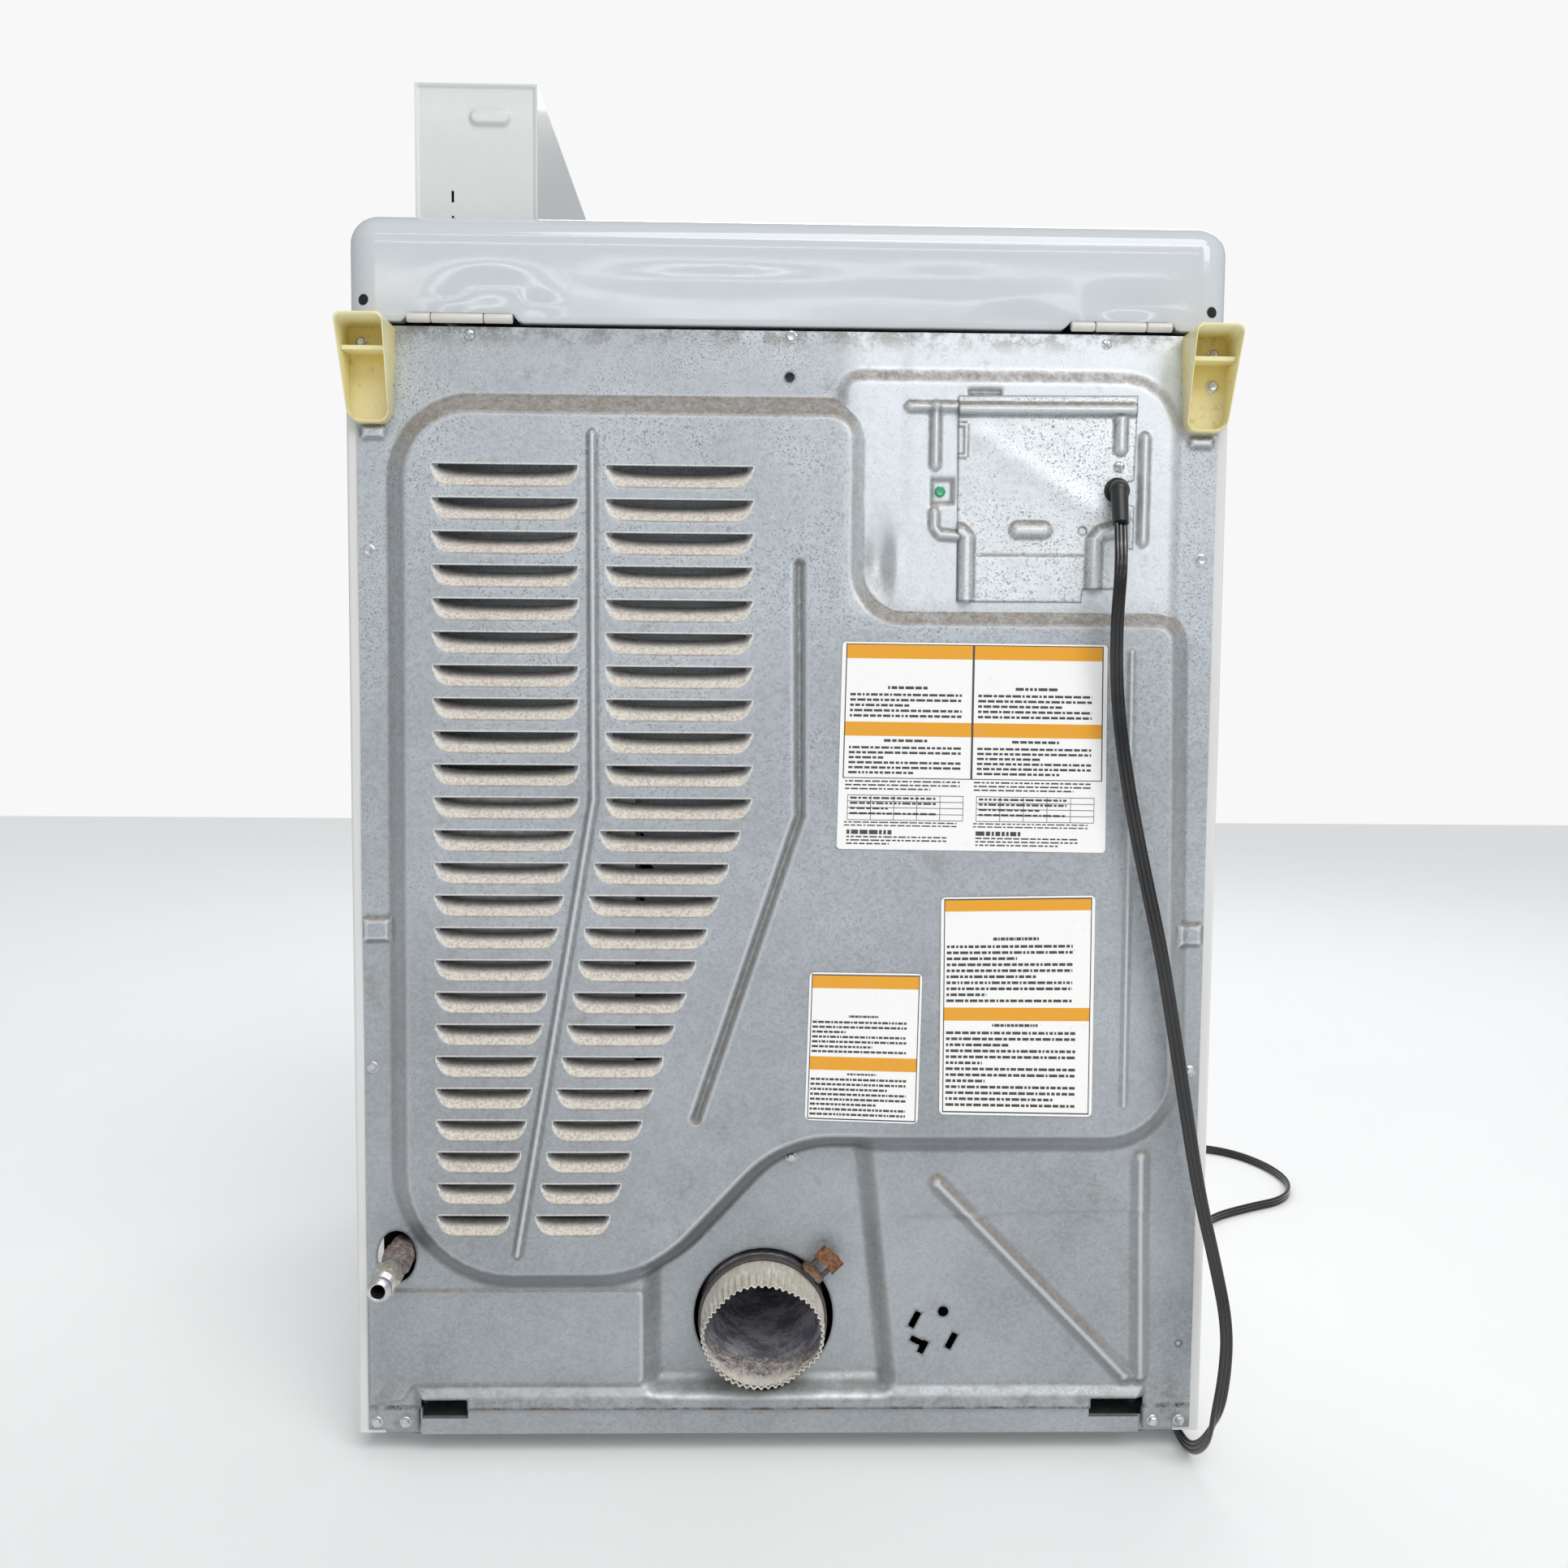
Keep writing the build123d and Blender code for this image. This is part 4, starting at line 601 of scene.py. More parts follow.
KNOCKOUT_TURN = math.radians(63)
ROUND_HOLES = ((0.5, 865.7, 3.8), (-323.9, 93.7, 2.2), (-130.6, 120.6, 4.2), (-187.9, 30.3, 2.4))
TURNED_SLOTS = ((-107.5, 113.9, 7, 2.6), (-137.6, 96.1, 7, 2.6), (-114.5, 91.0, 5.6, 2.6), (-108.5, 96.5, 2.4, 4.5))


def screen_holes(x, z):
    """Signed distance to the panel's openings, positive inside one, mm."""
    holes = [56.8 - np.hypot(x - 15.3, z - 112.2)]
    gas = np.hypot((x - 310.5) / 15.5, (z - 167) / 21)
    holes.append((1 - gas) * 16)
    for cx, cz, radius in ROUND_HOLES:
        holes.append(radius - np.hypot(x - cx, z - cz))
    cosine, sine = math.cos(KNOCKOUT_TURN), math.sin(KNOCKOUT_TURN)
    for cx, cz, half_long, half_wide in TURNED_SLOTS:
        u = (x - cx) * -cosine + (z - cz) * sine
        v = (x - cx) * sine + (z - cz) * cosine
        holes.append(np.minimum(half_long - np.abs(u), half_wide - np.abs(v)))
    holes.append(np.minimum(41.5 - z, 293 - np.abs(x)))
    for x0, x1 in ((254, 291), (-295, -251.5)):
        holes.append(np.minimum(50 - z, np.minimum(x - x0, x1 - x)))
    return np.max(holes, axis=0)


def sheet_grid(name, x_range, z_range, dx, dz, height, cuts, openings, paint, slot):
    """Pressed sheet as a grid of points; cuts are (row line, x0, x1) louvers."""
    xs = np.arange(x_range[0], x_range[1] + dx / 2, dx)
    zs = np.arange(z_range[0], z_range[1] + dz / 2, dz)
    x, z = np.meshgrid(xs, zs)
    level = height(x, z)
    slope_z, slope_x = np.gradient(level, dz, dx)
    bend = -(np.gradient(slope_z, dz, axis=0) + np.gradient(slope_x, dx, axis=1))
    open_value = openings(x, z)
    border_shade = soft(1 - np.abs(open_value) / 1.9)
    shade = np.zeros_like(x)
    for top, x0, x1 in cuts:
        middle, half = (x0 + x1) / 2, (x1 - x0) / 2
        u = np.abs(x - middle) / half
        side_room = half - np.abs(x - middle)
        fall = top - z
        corner = np.clip(1 - side_room / 13.0, 0, 1)
        bottom = 16.6 * np.sqrt(np.clip(1 - corner ** 2.2, 0, 1))
        across = np.sqrt(np.clip(1 - np.clip(u, 0, 1) ** 3.2, 0, 1))
        gap = 4.6 * across ** 1.5
        within = (side_room > 0) & (fall >= -0.01) & (fall < bottom)
        run = np.clip((fall - gap) / np.maximum(bottom - gap, 0.5), 0, 1)
        flap = -9.5 * across * (1 - run) ** 1.15 * soft(side_room / 9)
        level = np.where(within & (fall > 0.01), level + flap, level)
        opened = np.minimum(np.minimum(fall, gap - fall), side_room - 3.0)
        near = (fall >= -dz) & (side_room > 0) & (fall < 8)
        open_value = np.where(near, np.maximum(open_value, opened), open_value)
        shade = np.where(within, np.maximum(shade, 1 - run), shade)
    rows, columns = x.shape
    corners = [open_value[i:rows - 1 + i, j:columns - 1 + j] for j in (0, 1) for i in (0, 1)]
    drop = sum(corners[1:], corners[0]) / 4 > 0
    gradient_z, gradient_x = np.gradient(open_value, dz, dx)
    steep = np.maximum(gradient_x ** 2 + gradient_z ** 2, 1e-6)
    used, dropped = np.zeros((rows, columns), bool), np.zeros((rows, columns), bool)
    for di in (0, 1):
        for dj in (0, 1):
            used[di:rows - 1 + di, dj:columns - 1 + dj] |= ~drop
            dropped[di:rows - 1 + di, dj:columns - 1 + dj] |= drop
    border = used & dropped & (np.abs(open_value) < max(dx, dz) * 1.1)
    shift = np.where(border, np.clip(-open_value / steep, -1.2, 1.2), 0.0)
    x = x + shift * gradient_x
    z = z + shift * gradient_z
    index = np.arange(rows * columns).reshape(rows, columns)
    quads = np.stack([index[:-1, 1:], index[:-1, :-1], index[1:, :-1], index[1:, 1:]], axis=-1)[~drop]
    points = np.stack([x.ravel(), REAR + level.ravel(), z.ravel()], axis=1)
    kept = np.unique(quads)
    renumber = np.zeros(rows * columns, int)
    renumber[kept] = np.arange(len(kept))
    made = piece(name, points[kept], renumber[quads], paint, "cabinet", slot)
    for label, values in (("shade", shade), ("bend", np.tanh(bend / 0.28)), ("rim", border_shade)):
        layer = made.data.attributes.new(label, "FLOAT", "POINT")
        layer.data.foreach_set("value", values.ravel()[kept].astype(np.float32))
    return made


cuts = [(TOP_ROW - PITCH * row, x0, x1) for row in range(ROWS) for x0, x1 in louver_spans(row)]
GRID_Z = PITCH / 16
bottom_line = TOP_ROW - GRID_Z * math.ceil((TOP_ROW - 22) / GRID_Z) + GRID_Z
panel = sheet_grid(
    "rear_sheet", (-334.5, 334.5), (bottom_line, 901), 1.5, GRID_Z, panel_height, cuts, screen_holes,
    PANEL, "galvanised",
)
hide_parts("rear_panel")


# ---------------------------------------------------------------- terminal plate
PLATE_OUTLINE = np.array((
    (-130, 852.6), (-270, 854), (-268.5, 789), (-262, 787), (-262, 771), (-269, 769.5), (-269, 736),
    (-256, 736), (-256, 705), (-230, 704), (-229, 694), (-131, 694),
))


PLATE_BEADS = (
    (5.0, 6.0, 3.5, ((-138, 690), (-138, 744), (-134, 748), (-128, 749))),
    (5.0, 6.0, 3.5, ((-238, 690), (-238, 742), (-243, 748), (-254, 751))),
    (4.6, 6.4, 3, ((-178, 750), (-198, 750))),
    (-1.2, 0.9, 1, ((-147, 730.5), (-230, 730.5))),
    (2.0, 3.2, 3, ((-262, 765), (-262, 741))),
)


def plate_height(x, z):
    """Height of the terminal plate above the flange, mm."""
    level = 5.8 + 0.25 * np.sin(x / 19) * np.sin(z / 23)
    level = level + 5.6 * ridge(run_distance(x, z, ((-126, 842), (-266, 843))), 4.6, 3)
    level = level + 4.6 * ridge(run_distance(x, z, ((-257, 840), (-257, 813))), 4.8, 3) * (z < 838)
    level = beads(level, x, z, PLATE_BEADS)
    tab = np.abs(np.maximum(np.abs(x + 131) - 5.5, np.abs(z - 818.5) - 12))
    level = level + 2.0 * ridge(tab, 1.0, 1.6)
    crease = run_distance(x, z, ((-150, 820), (-246, 760)))
    return level + 0.9 * np.exp(-(crease / 9) ** 2) - 0.5 * np.exp(-(((x + 150) / 16) ** 2 + ((z - 812) / 9) ** 2))


def plate_holes(x, z):
    """Signed distance to the plate's holes and outside, positive there, mm."""
    outside = -inside(x, z, PLATE_OUTLINE)
    small = 2.9 - np.hypot(x + 228.9, z - 749.8)
    cord_hole = 7.6 - np.hypot(x + 255, z - 780.7)
    return np.maximum(np.maximum(outside, small), cord_hole)


plate = sheet_grid(
    "terminal_plate", (-271, -126), (692, 856), 1.0, 1.0, plate_height, (), plate_holes, PLATE, "galvanised",
)
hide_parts("terminal_cover")


def back(x, z):
    """Depth of the rear panel's surface, mm."""
    return REAR + float(panel_height(np.array([[float(x)]]), np.array([[float(z)]]))[0, 0])


# ---------------------------------------------------------------- screws
# height, radius, and whether the section is a hexagon
HEX_HEAD = (
    (0.0, 4.7, 0), (0.5, 4.7, 0), (0.9, 4.2, 0), (1.0, 3.7, 1),
    (3.0, 3.6, 1), (3.6, 3.0, 1), (3.4, 2.2, 0), (3.2, 0.4, 0),
)
ROUND_HEAD = ((0.0, 4.6, 0), (0.8, 4.5, 0), (1.6, 4.0, 0), (2.2, 3.0, 0), (2.5, 1.8, 0), (2.5, 0.3, 0))


def screw(x, z, y, cross=False):
    """Washer-head hexagon screw on the back, or a round head with a cross."""
    rings = []
    for out, radius, hexed in ROUND_HEAD if cross else HEX_HEAD:
        ring = []
        for angle in turns(36):
            r = radius * (hexagon(angle) * 1.06 if hexed else 1)
            sunk = 1.3 if cross and radius < 3.1 and abs(math.sin(2 * angle)) < 0.5 else 0
            ring.append((x + r * math.cos(angle), y + out - sunk, z + r * math.sin(angle)))
        rings.append(ring)
    points, faces = tube(rings)
    return points, faces + [tuple(range(len(points) - 36, len(points)))]


HEX_PLACES = ((-0.5, 896.6), (325.9, 729.6), (328.2, 321.5), (-324.4, 728.6), (-326.9, 319.7), (-6.7, 244.5),
              (327.6, 29.3), (304.7, 29.2), (-304.2, 28.6), (-325.7, 28.5))
heads = [screw(x, z, back(x, z) - 0.3) for x, z in HEX_PLACES]
heads += [screw(*place, cross=True) for place in (
    (247, 895.0, REAR), (-245.3, 893.6, REAR), (-256.3, 799.5, REAR + 5.2),
)]
heads += [screw(x, z, REAR + 2.4) for x, z in ((329, 887), (-328, 886), (-328, 862))]
screws = sharpen(piece("rear_screws", *join(heads), BRIGHT, "cabinet", "bright_steel"), 35)
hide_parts("panel_screws")

GREEN = plain_metal("green_screw", (0.10, 0.42, 0.24), 0.35, 0.5, 0.3, (0.05, 0.2, 0.12))
sharpen(piece("ground_screw", *screw(-117.4, 779.2, REAR + 0.8), GREEN, "cabinet", "bright_steel"), 35)

# ---------------------------------------------------------------- cover
COVER_R = 24.0
NOTCHES = ((212, 296), (-298, -215))


def cover_ring(inset, z):
    """One level of the cover: a rounded rectangle, closely divided along its rear side."""
    x0, y0, y1 = COVER_X - inset, -376 + inset, COVER_BACK - inset
    radius = max(COVER_R - inset, 0.8)
    corners = ((x0 - radius, y1 - radius, 0), (-x0 + radius, y1 - radius, 90),
               (-x0 + radius, y0 + radius, 180), (x0 - radius, y0 + radius, 270))
    divisions = (170, 24, 24, 24)
    ring = []
    for index, (cx, cy, start) in enumerate(corners):
        arc = []
        for k in range(11):
            angle = math.radians(start + 9 * k)
            arc.append((cx + radius * math.cos(angle), cy + radius * math.sin(angle)))
        ring += arc
        nx, ny, next_start = corners[(index + 1) % 4]
        angle = math.radians(next_start)
        end = (nx + radius * math.cos(angle), ny + radius * math.sin(angle))
        for k in range(1, divisions[index]):
            t = k / divisions[index]
            ring.append((arc[-1][0] + t * (end[0] - arc[-1][0]), arc[-1][1] + t * (end[1] - arc[-1][1])))
    return [(px, py, z) for px, py in ring]


DENTS = ((232, 930, 34, 13, 1.7), (196, 917, 16, 9, 1.2), (262, 920, 14, 8, 1.0), (-178, 912, 26, 8, 1.6),
         (-208, 922, 13, 9, -0.7), (-262, 924, 26, 9, 1.5), (-120, 940, 60, 12, 0.6), (60, 940, 80, 9, 0.5))


def cover_point(point):
    """Adds the notches over the hinges and the dents to the cover's rear side."""
    x, y, z = point
    if y > 300:
        lift = max(soft((min(x - a, b - x) + 5) / 8) for a, b in NOTCHES)
        z = max(z, 903 + 8.0 * lift + 0.12 * (z - 903)) if z < 914 else z
        inward = sum(a * math.exp(-(((x - cx) / wx) ** 2 + ((z - cz) / wz) ** 2)) for cx, cz, wx, wz, a in DENTS)
        inward += 0.25 * math.sin(x / 55 + 0.6) * math.sin((z - 903) / 14)
        y -= max(inward, 0)
    return x, y, z


profile = [(13, 905.5), (2.2, 904.2), (0.6, 904.6), (0, 906)]
profile += [(0, 906 + 4 * k) for k in range(1, 15)]
EDGE_R = 22
arc = [math.radians(9 * k) for k in range(1, 11)]
profile += [(EDGE_R - EDGE_R * math.cos(a), COVER_TOP - EDGE_R + EDGE_R * math.sin(a)) for a in arc]
profile += [(60, COVER_TOP), (200, COVER_TOP)]
cover_points, cover_faces = tube([[cover_point(p) for p in cover_ring(*level)] for level in profile])
ring_size = len(cover_points) // len(profile)
cover_faces.append(tuple(range(len(cover_points) - ring_size, len(cover_points))))
cover = piece("cover_skin", cover_points, cover_faces, WHITE, "cover", "white_enamel")
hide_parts("top_cover")


def cover_back(x):
    """Depth of the cover's rear side, which is round at its ends."""
    over = max(abs(x) - (COVER_X - COVER_R), 0)
    return COVER_BACK - COVER_R + math.sqrt(COVER_R ** 2 - over ** 2)


HOLE = plastic("hole_shadow", (0.006, 0.006, 0.006), 0.8)
for index, (x, z) in enumerate(((329, 921), (-328, 920))):
    rings = []
    for radius, out in ((4.2, -0.2), (4.1, 0.15), (3.9, 0.25), (2.0, 0.22), (0.3, 0.2)):
        ring = [(x + radius * math.cos(angle), z + radius * math.sin(angle)) for angle in turns(28)]
        rings.append([(px, cover_back(px) + out + 0.15, pz) for px, pz in ring])
    piece(f"cover_hole_{index}", *tube(rings), HOLE, "cover", "black_plastic")


# ---------------------------------------------------------------- meter case back
METER_X, METER_TOP = (200, 296), 1097
METER_BACK = -39.75      # depth of its rear face from the panel's flange, mm


def meter_height(x, z):
    """Height of the meter case's back, with a lip around it and a raised grip."""
    edge = np.minimum(np.minimum(x - METER_X[0], METER_X[1] - x), METER_TOP - z)
    level = 1.6 * (1 - soft((edge - 1.8) / 0.9))
    grip = run_distance(x, z, ((227, 1071.5), (247, 1071.5)))
    return level + METER_BACK + 3.2 * soft((6.8 - grip) / 2.6)


def meter_holes(x, z):
    """Signed distance to two short slots."""
    slots = [np.minimum(1.1 - np.abs(x - 267), 4.6 - np.abs(z - c)) for c in (1010.5, 991.0)]
    return np.max(slots, axis=0)


meter_back = sheet_grid(
    "meter_back", METER_X, (COVER_TOP, METER_TOP), 1.0, 1.0, meter_height, (), meter_holes, METER, "meter_paint",
)
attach(meter_back, "cover")

# ---------------------------------------------------------------- rear spacers
SPACER = Paint("spacer_plastic", Roughness=0.34, Subsurface_Weight=0.55, Subsurface_Radius=(0.012, 0.008, 0.003),
               Coat_Weight=0.3, Coat_Roughness=0.2)
depth = SPACER.ramp(1, 0.3235, 0.352)
tone = SPACER.mix(SPACER.ramp(2, 0.835, 0.885), (0.76, 0.68, 0.37), (0.88, 0.74, 0.27))
tone = SPACER.mix(depth, tone, (0.90, 0.85, 0.52))
blotch = SPACER.patches(150, 4, 0.7, 0.55, 0.72)
tone = SPACER.over(tone, (0.30, 0.22, 0.11), blotch, 0.40, SPACER.range(depth, 0, 1, 1, 0.05))
SPACER.set("Base Color", tone)
SPACER.bump(SPACER.noise(400, 3, 0.6), 0.2, 0.0006)
SPACER_LOW, SPACER_HIGH = 826, 902
WEB_DEPTH = REAR + 26
# inset from the outline, and depth: a name for a fixed depth, or a number measured from the rim
SPACER_SECTION = (
    (0.0, "wall"), (0.1, 0.0), (0.25, 0.5), (0.8, 1.0), (1.6, 1.0), (2.1, 0.5), (2.4, 0.0),
    (3.0, "corner"), (3.2, "floor"),
)
FIXED_DEPTHS = {"wall": REAR, "corner": REAR + 4.5, "floor": REAR + 2.4}


def spacer_mesh(sign):
    """Tapered open bracket with rounded corners, a thin rim and a web across."""
    outline = rounded(((341, SPACER_HIGH), (304, SPACER_HIGH), (307, SPACER_LOW), (339, SPACER_LOW)), (6, 5, 9, 10), 9)
    centre = outline.mean(axis=0)
    rings = []
    for inset, out in SPACER_SECTION:
        ring = []
        for corner in outline:
            toward = (centre - corner) / np.linalg.norm(centre - corner)
            x, z = corner + inset * toward
            rim = REAR + 9.0 + 35.0 * (z - SPACER_LOW) / (SPACER_HIGH - SPACER_LOW)
            ring.append((sign * x, FIXED_DEPTHS[out] if out in FIXED_DEPTHS else rim - 1.0 + out, z))
        rings.append(ring)
    points, faces = tube(rings)
    count = len(outline)
    faces += [tuple(range(len(points) - count, len(points))), tuple(range(count))]
    web = []
    for z, drop in ((877.2, -0.8), (877.6, 0.0), (880.4, 0.4), (880.8, -0.4)):
        left = 306 + 0.03 * (SPACER_HIGH - z)
        section = ((left, REAR + 2.5), (left, WEB_DEPTH + drop), (338.6, WEB_DEPTH + drop), (338.6, REAR + 2.5))
        web.append([(sign * x, y, z) for x, y in section])
    web_points, web_faces = tube(web)
    return join([(points, faces), (web_points, web_faces + [(0, 1, 2, 3), (12, 13, 14, 15)])])


for sign, side in ((-1, "left"), (1, "right")):
    spacer = sharpen(piece("spacer_" + side, *spacer_mesh(sign), SPACER, "cabinet", "spacer_plastic"), 50)
    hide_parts("rear_spacer_" + side)

# ---------------------------------------------------------------- cover hinges
def barrel(x0, x1):
    """Rolled hinge knuckle along X with softened ends."""
    full = 3.65
    half_profile = ((0.0, 0.6), (0.0, full - 0.8), (0.4, full - 0.2), (1.2, full))
    stations = [(x0 + d, r) for d, r in half_profile] + [(x1 - d, r) for d, r in half_profile[::-1]]
    return tube([
        [(x, REAR + 3.5 + r * math.cos(angle), 906.5 + r * math.sin(angle)) for angle in turns(28)]
        for x, r in stations
    ])

fixed = join([barrel(x0, x1) for x0, x1 in ((213.5, 235.4), (276.4, 294.4), (-235.2, -216.8), (-295.4, -275.8))])
moving = join([barrel(x0, x1) for x0, x1 in ((236.0, 275.8), (-275.2, -235.8))])
for name, shape, body, node in (
    ("hinge_fixed", fixed, "cabinet", "cover_hinge_pins"), ("hinge_moving", moving, "cover", "cover_hinge_knuckles"),
):
    made = sharpen(piece(name, *shape, HINGE, body, "hinge_paint"), 45)
    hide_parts(node)

# ---------------------------------------------------------------- exhaust
random = np.random.default_rng(7)


def lumps(a, b):
    """Smooth repeatable unevenness over two coordinates, about -1 to 1."""
    total, size = 0.0, 1.0
    for layer in range(5):
        pa, pb, qa, qb = LUMP_PHASE[layer]
        first = np.sin(a * 1.9 ** layer + pa + 1.7 * np.sin(b * 1.3 * 1.8 ** layer + qa))
        total = total + size * first * np.sin(b * 2.1 ** layer + pb + 1.3 * np.sin(a * 1.7 ** layer + qb))
        size *= 0.62
    return total / 1.7


def fluffy(name, scale, dark, pale, strength=1.0, distance=0.003):
    """Lint or dust: a rough matt material with two tones, and the noise they follow."""
    paint = Paint(name, Roughness=1.0)
    fluff = paint.noise(scale, 5, 0.8)
    paint.set("Base Color", paint.mix(paint.range(fluff, 0.35, 0.65), dark, pale))
    paint.bump(fluff, strength, distance)
    return paint, fluff


LUMP_PHASE = random.uniform(0, 6.28, (6, 4))
VENT_PAINT = Paint("vent_metal", Metallic=0.15, Roughness=0.6)
streak = VENT_PAINT.noise(9, 4, 0.7, at=VENT_PAINT.stretched(40, 4, 40))
tone = VENT_PAINT.mix(VENT_PAINT.range(streak, 0.3, 0.7), (0.50, 0.485, 0.43), (0.80, 0.765, 0.675))
dusty = VENT_PAINT.range(VENT_PAINT.normal(2), 0.2, 0.9), VENT_PAINT.patches(110, 4, 0.6, 0.3, 0.6)
tone = VENT_PAINT.over(tone, (0.46, 0.415, 0.34), *dusty, 0.45)
tone = VENT_PAINT.over(tone, (0.08, 0.07, 0.06), VENT_PAINT.patches(420, 3, 0.8, 0.66, 0.76, 0, 0.7))
VENT_PAINT.set("Base Color", tone)
VENT_PAINT.bump(VENT_PAINT.noise(300, 4, 0.7), 0.35, 0.0008)
THROAT = Paint("duct_dust", Roughness=0.9)
THROAT.set("Base Color", THROAT.mix(THROAT.patches(34, 6, 0.8, 0.40, 0.60), (0.95, 0.95, 0.98), (0.36, 0.34, 0.42)))
THROAT.bump(THROAT.noise(120, 5, 0.8), 0.9, 0.003)
use(THROAT, "exhaust_duct")
SOOT = Paint("vent_soot", Roughness=0.95)
soot = SOOT.noise(95, 5, 0.75)
tone = SOOT.mix(SOOT.range(soot, 0.4, 0.68), (0.20, 0.19, 0.24), (0.80, 0.79, 0.82))
tone = SOOT.over(tone, (0.62, 0.58, 0.53), SOOT.ramp(2, 0.100, 0.072), SOOT.range(soot, 0.3, 0.6))
SOOT.set("Base Color", tone)
SOOT.bump(SOOT.noise(260, 5, 0.8), 1.0, 0.003)
STUB_START, STUB_RUN, STUB_SEGMENTS, STUB_FLUTES = 306, 45, 416, 52


def stub_oval(y):
    """How far along the stub a section lies, 0 to 1, and the section's half width and half height."""
    t = (y - STUB_START) / STUB_RUN
    return t, 50.8 - 2.6 * soft(t), 50.7 - 8.7 * soft(t)


def stub_ring(y, inset):
    """One section of the stub, oval and crimped towards its rim."""
    t, wide, high = stub_oval(y)
    crimp = soft((y - 328) / 6)
    at_rim = t > 0.97
    ring = []
    for angle in turns(STUB_SEGMENTS):
        wave = math.sin(STUB_FLUTES * angle + 0.4 * math.sin(3 * angle))
        pushed = -4.2 * math.exp(-(((angle - 3.95) / 0.30) ** 2)) * soft((t - 0.5) / 0.5)
        pushed += -1.8 * math.exp(-(((angle - 0.6) / 0.35) ** 2)) * soft((t - 0.5) / 0.5)
        reach = 1.15 * crimp * wave + pushed - inset + 0.5 * math.sin(5 * angle + 1) * t
        rim = -1.2 * at_rim * (0.5 + 0.5 * math.sin(7 * angle)) + 0.35 * at_rim * wave
        ring.append((VENT_X + (wide + reach) * math.cos(angle), y + rim, VENT_Z + (high + reach) * math.sin(angle)))
    return ring


outer_levels = [306, 312, 318, 323, 327, 329, 331, 333, 336, 339, 342, 345, 348, 349.6]
stub_rings = [stub_ring(y, 0) for y in outer_levels] + [stub_ring(y, 0.9) for y in outer_levels[::-1]]
stub_points, stub_faces = tube(stub_rings)
painted = (len(outer_levels) + 5) * STUB_SEGMENTS      # the outside, and the first of the inside
stub = piece(
    "vent_stub", stub_points, stub_faces, (VENT_PAINT, SOOT), "cabinet", "vent_metal",
    material_index=[int(i >= painted) for i in range(len(stub_faces))],
)
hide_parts("exhaust_stub")

LINT_STEPS = 89
lint_rings = []
for y in np.linspace(314, 348.5, 24):
    ring = []
    t, wide, high = stub_oval(y)
    for k in range(LINT_STEPS + 1):
        angle = math.radians(195 + 160 * k / LINT_STEPS)
        fade = math.sin(math.pi * k / LINT_STEPS) ** 0.5
        heap = 12.5 * float(soft((349 - y) / 21)) * fade ** 3
        rough_lint = 2.6 + 2.2 * float(lumps(angle * 9, y / 4.0))
        thick = 0.9 + fade * rough_lint * float(soft((350 - y) / 9)) + heap
        ragged = (1.5 + 1.5 * float(lumps(angle * 11, 3.0))) * (y > 340)
        ring.append((
            VENT_X + (wide - thick) * math.cos(angle), y - ragged, VENT_Z + (high - thick) * math.sin(angle),
        ))
    lint_rings.append(ring)
LINT_DUST, fluff = fluffy("grey_lint", 240, (0.16, 0.145, 0.15), (0.62, 0.57, 0.54))
lint_tone = LINT_DUST.shader.inputs["Base Color"].links[0].from_socket
lip = LINT_DUST.ramp(1, 0.3385, 0.3445), LINT_DUST.range(fluff, 0.62, 0.40, 0.55, 1.0)
LINT_DUST.set("Base Color", LINT_DUST.over(lint_tone, (0.84, 0.80, 0.71), *lip))
piece("vent_lint", *tube(lint_rings, closed=False), LINT_DUST, "cabinet", "gasket_felt")


# ---------------------------------------------------------------- clamp
def clamp_point(radial, along, out):
    """Point by its distance from the vent's axis, its offset along the band, and its depth."""
    angle = math.radians(135)
    outward = np.array([math.cos(angle), math.sin(angle)])
    tangent = np.array([math.sin(angle), -math.cos(angle)])
    x, z = np.array([VENT_X, VENT_Z]) + outward * radial + tangent * along
    return (float(x), REAR + out, float(z))


def rod_between(start, end, radius, steps=26):
    """Threaded rod."""
    start, end = Vector(start), Vector(end)
    along = (end - start).normalized()
    across = along.cross(Vector((0, 1, 0))).normalized()
    other = along.cross(across)
    rings = []
    for i in range(steps + 1):
        r = radius * (1.0 if i % 2 else 0.86) if 0 < i < steps else 0.3
        centre = start.lerp(end, i / steps)
        rings.append([
            tuple(centre + across * (r * math.cos(angle)) + other * (r * math.sin(angle))) for angle in turns(18)
        ])
    return tube(rings)


def bent_plate(radial, half, thick, depths, bow, steps=12):
    """Plate across the rods, bowed and curled along its edges."""
    low, high = depths
    rings = []
    for j in range(steps + 1):
        along = -half + 2 * half * j / steps
        lean = radial + bow * (1 - (along / half) ** 2) + 0.5 * math.sin(1.7 * j)
        curl = 1.8 if j in (0, steps) else 0.0
        section = (
            (low + curl, 0), (low + 1 + curl, thick), (high - 1 - curl, thick + 0.8), (high - curl, 0.8),
        )
        rings.append([clamp_point(lean + shift, along, out) for out, shift in section])
    points, faces = tube(rings)
    faces += [(0, 1, 2, 3), tuple(len(points) - 4 + k for k in range(4))]
    return points, faces


rust_parts = join([bent_plate(67.5, 11.0, 12.5, (0.0, 4.0), 1.8), bent_plate(54.0, 9.5, 5.5, (-9.0, 3.0), 0.8)])
sharpen(piece("clamp_plate", *rust_parts, RUST, "cabinet", "rusty_steel"), 40)
rods = join([rod_between(clamp_point(55, side, 0), clamp_point(72, side, 1), 2.3) for side in (6.2, -6.2)])
clamp_rods = piece("clamp_rods", *rods, DARK_STEEL, "cabinet", "rusty_steel")
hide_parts("clamp_screw")

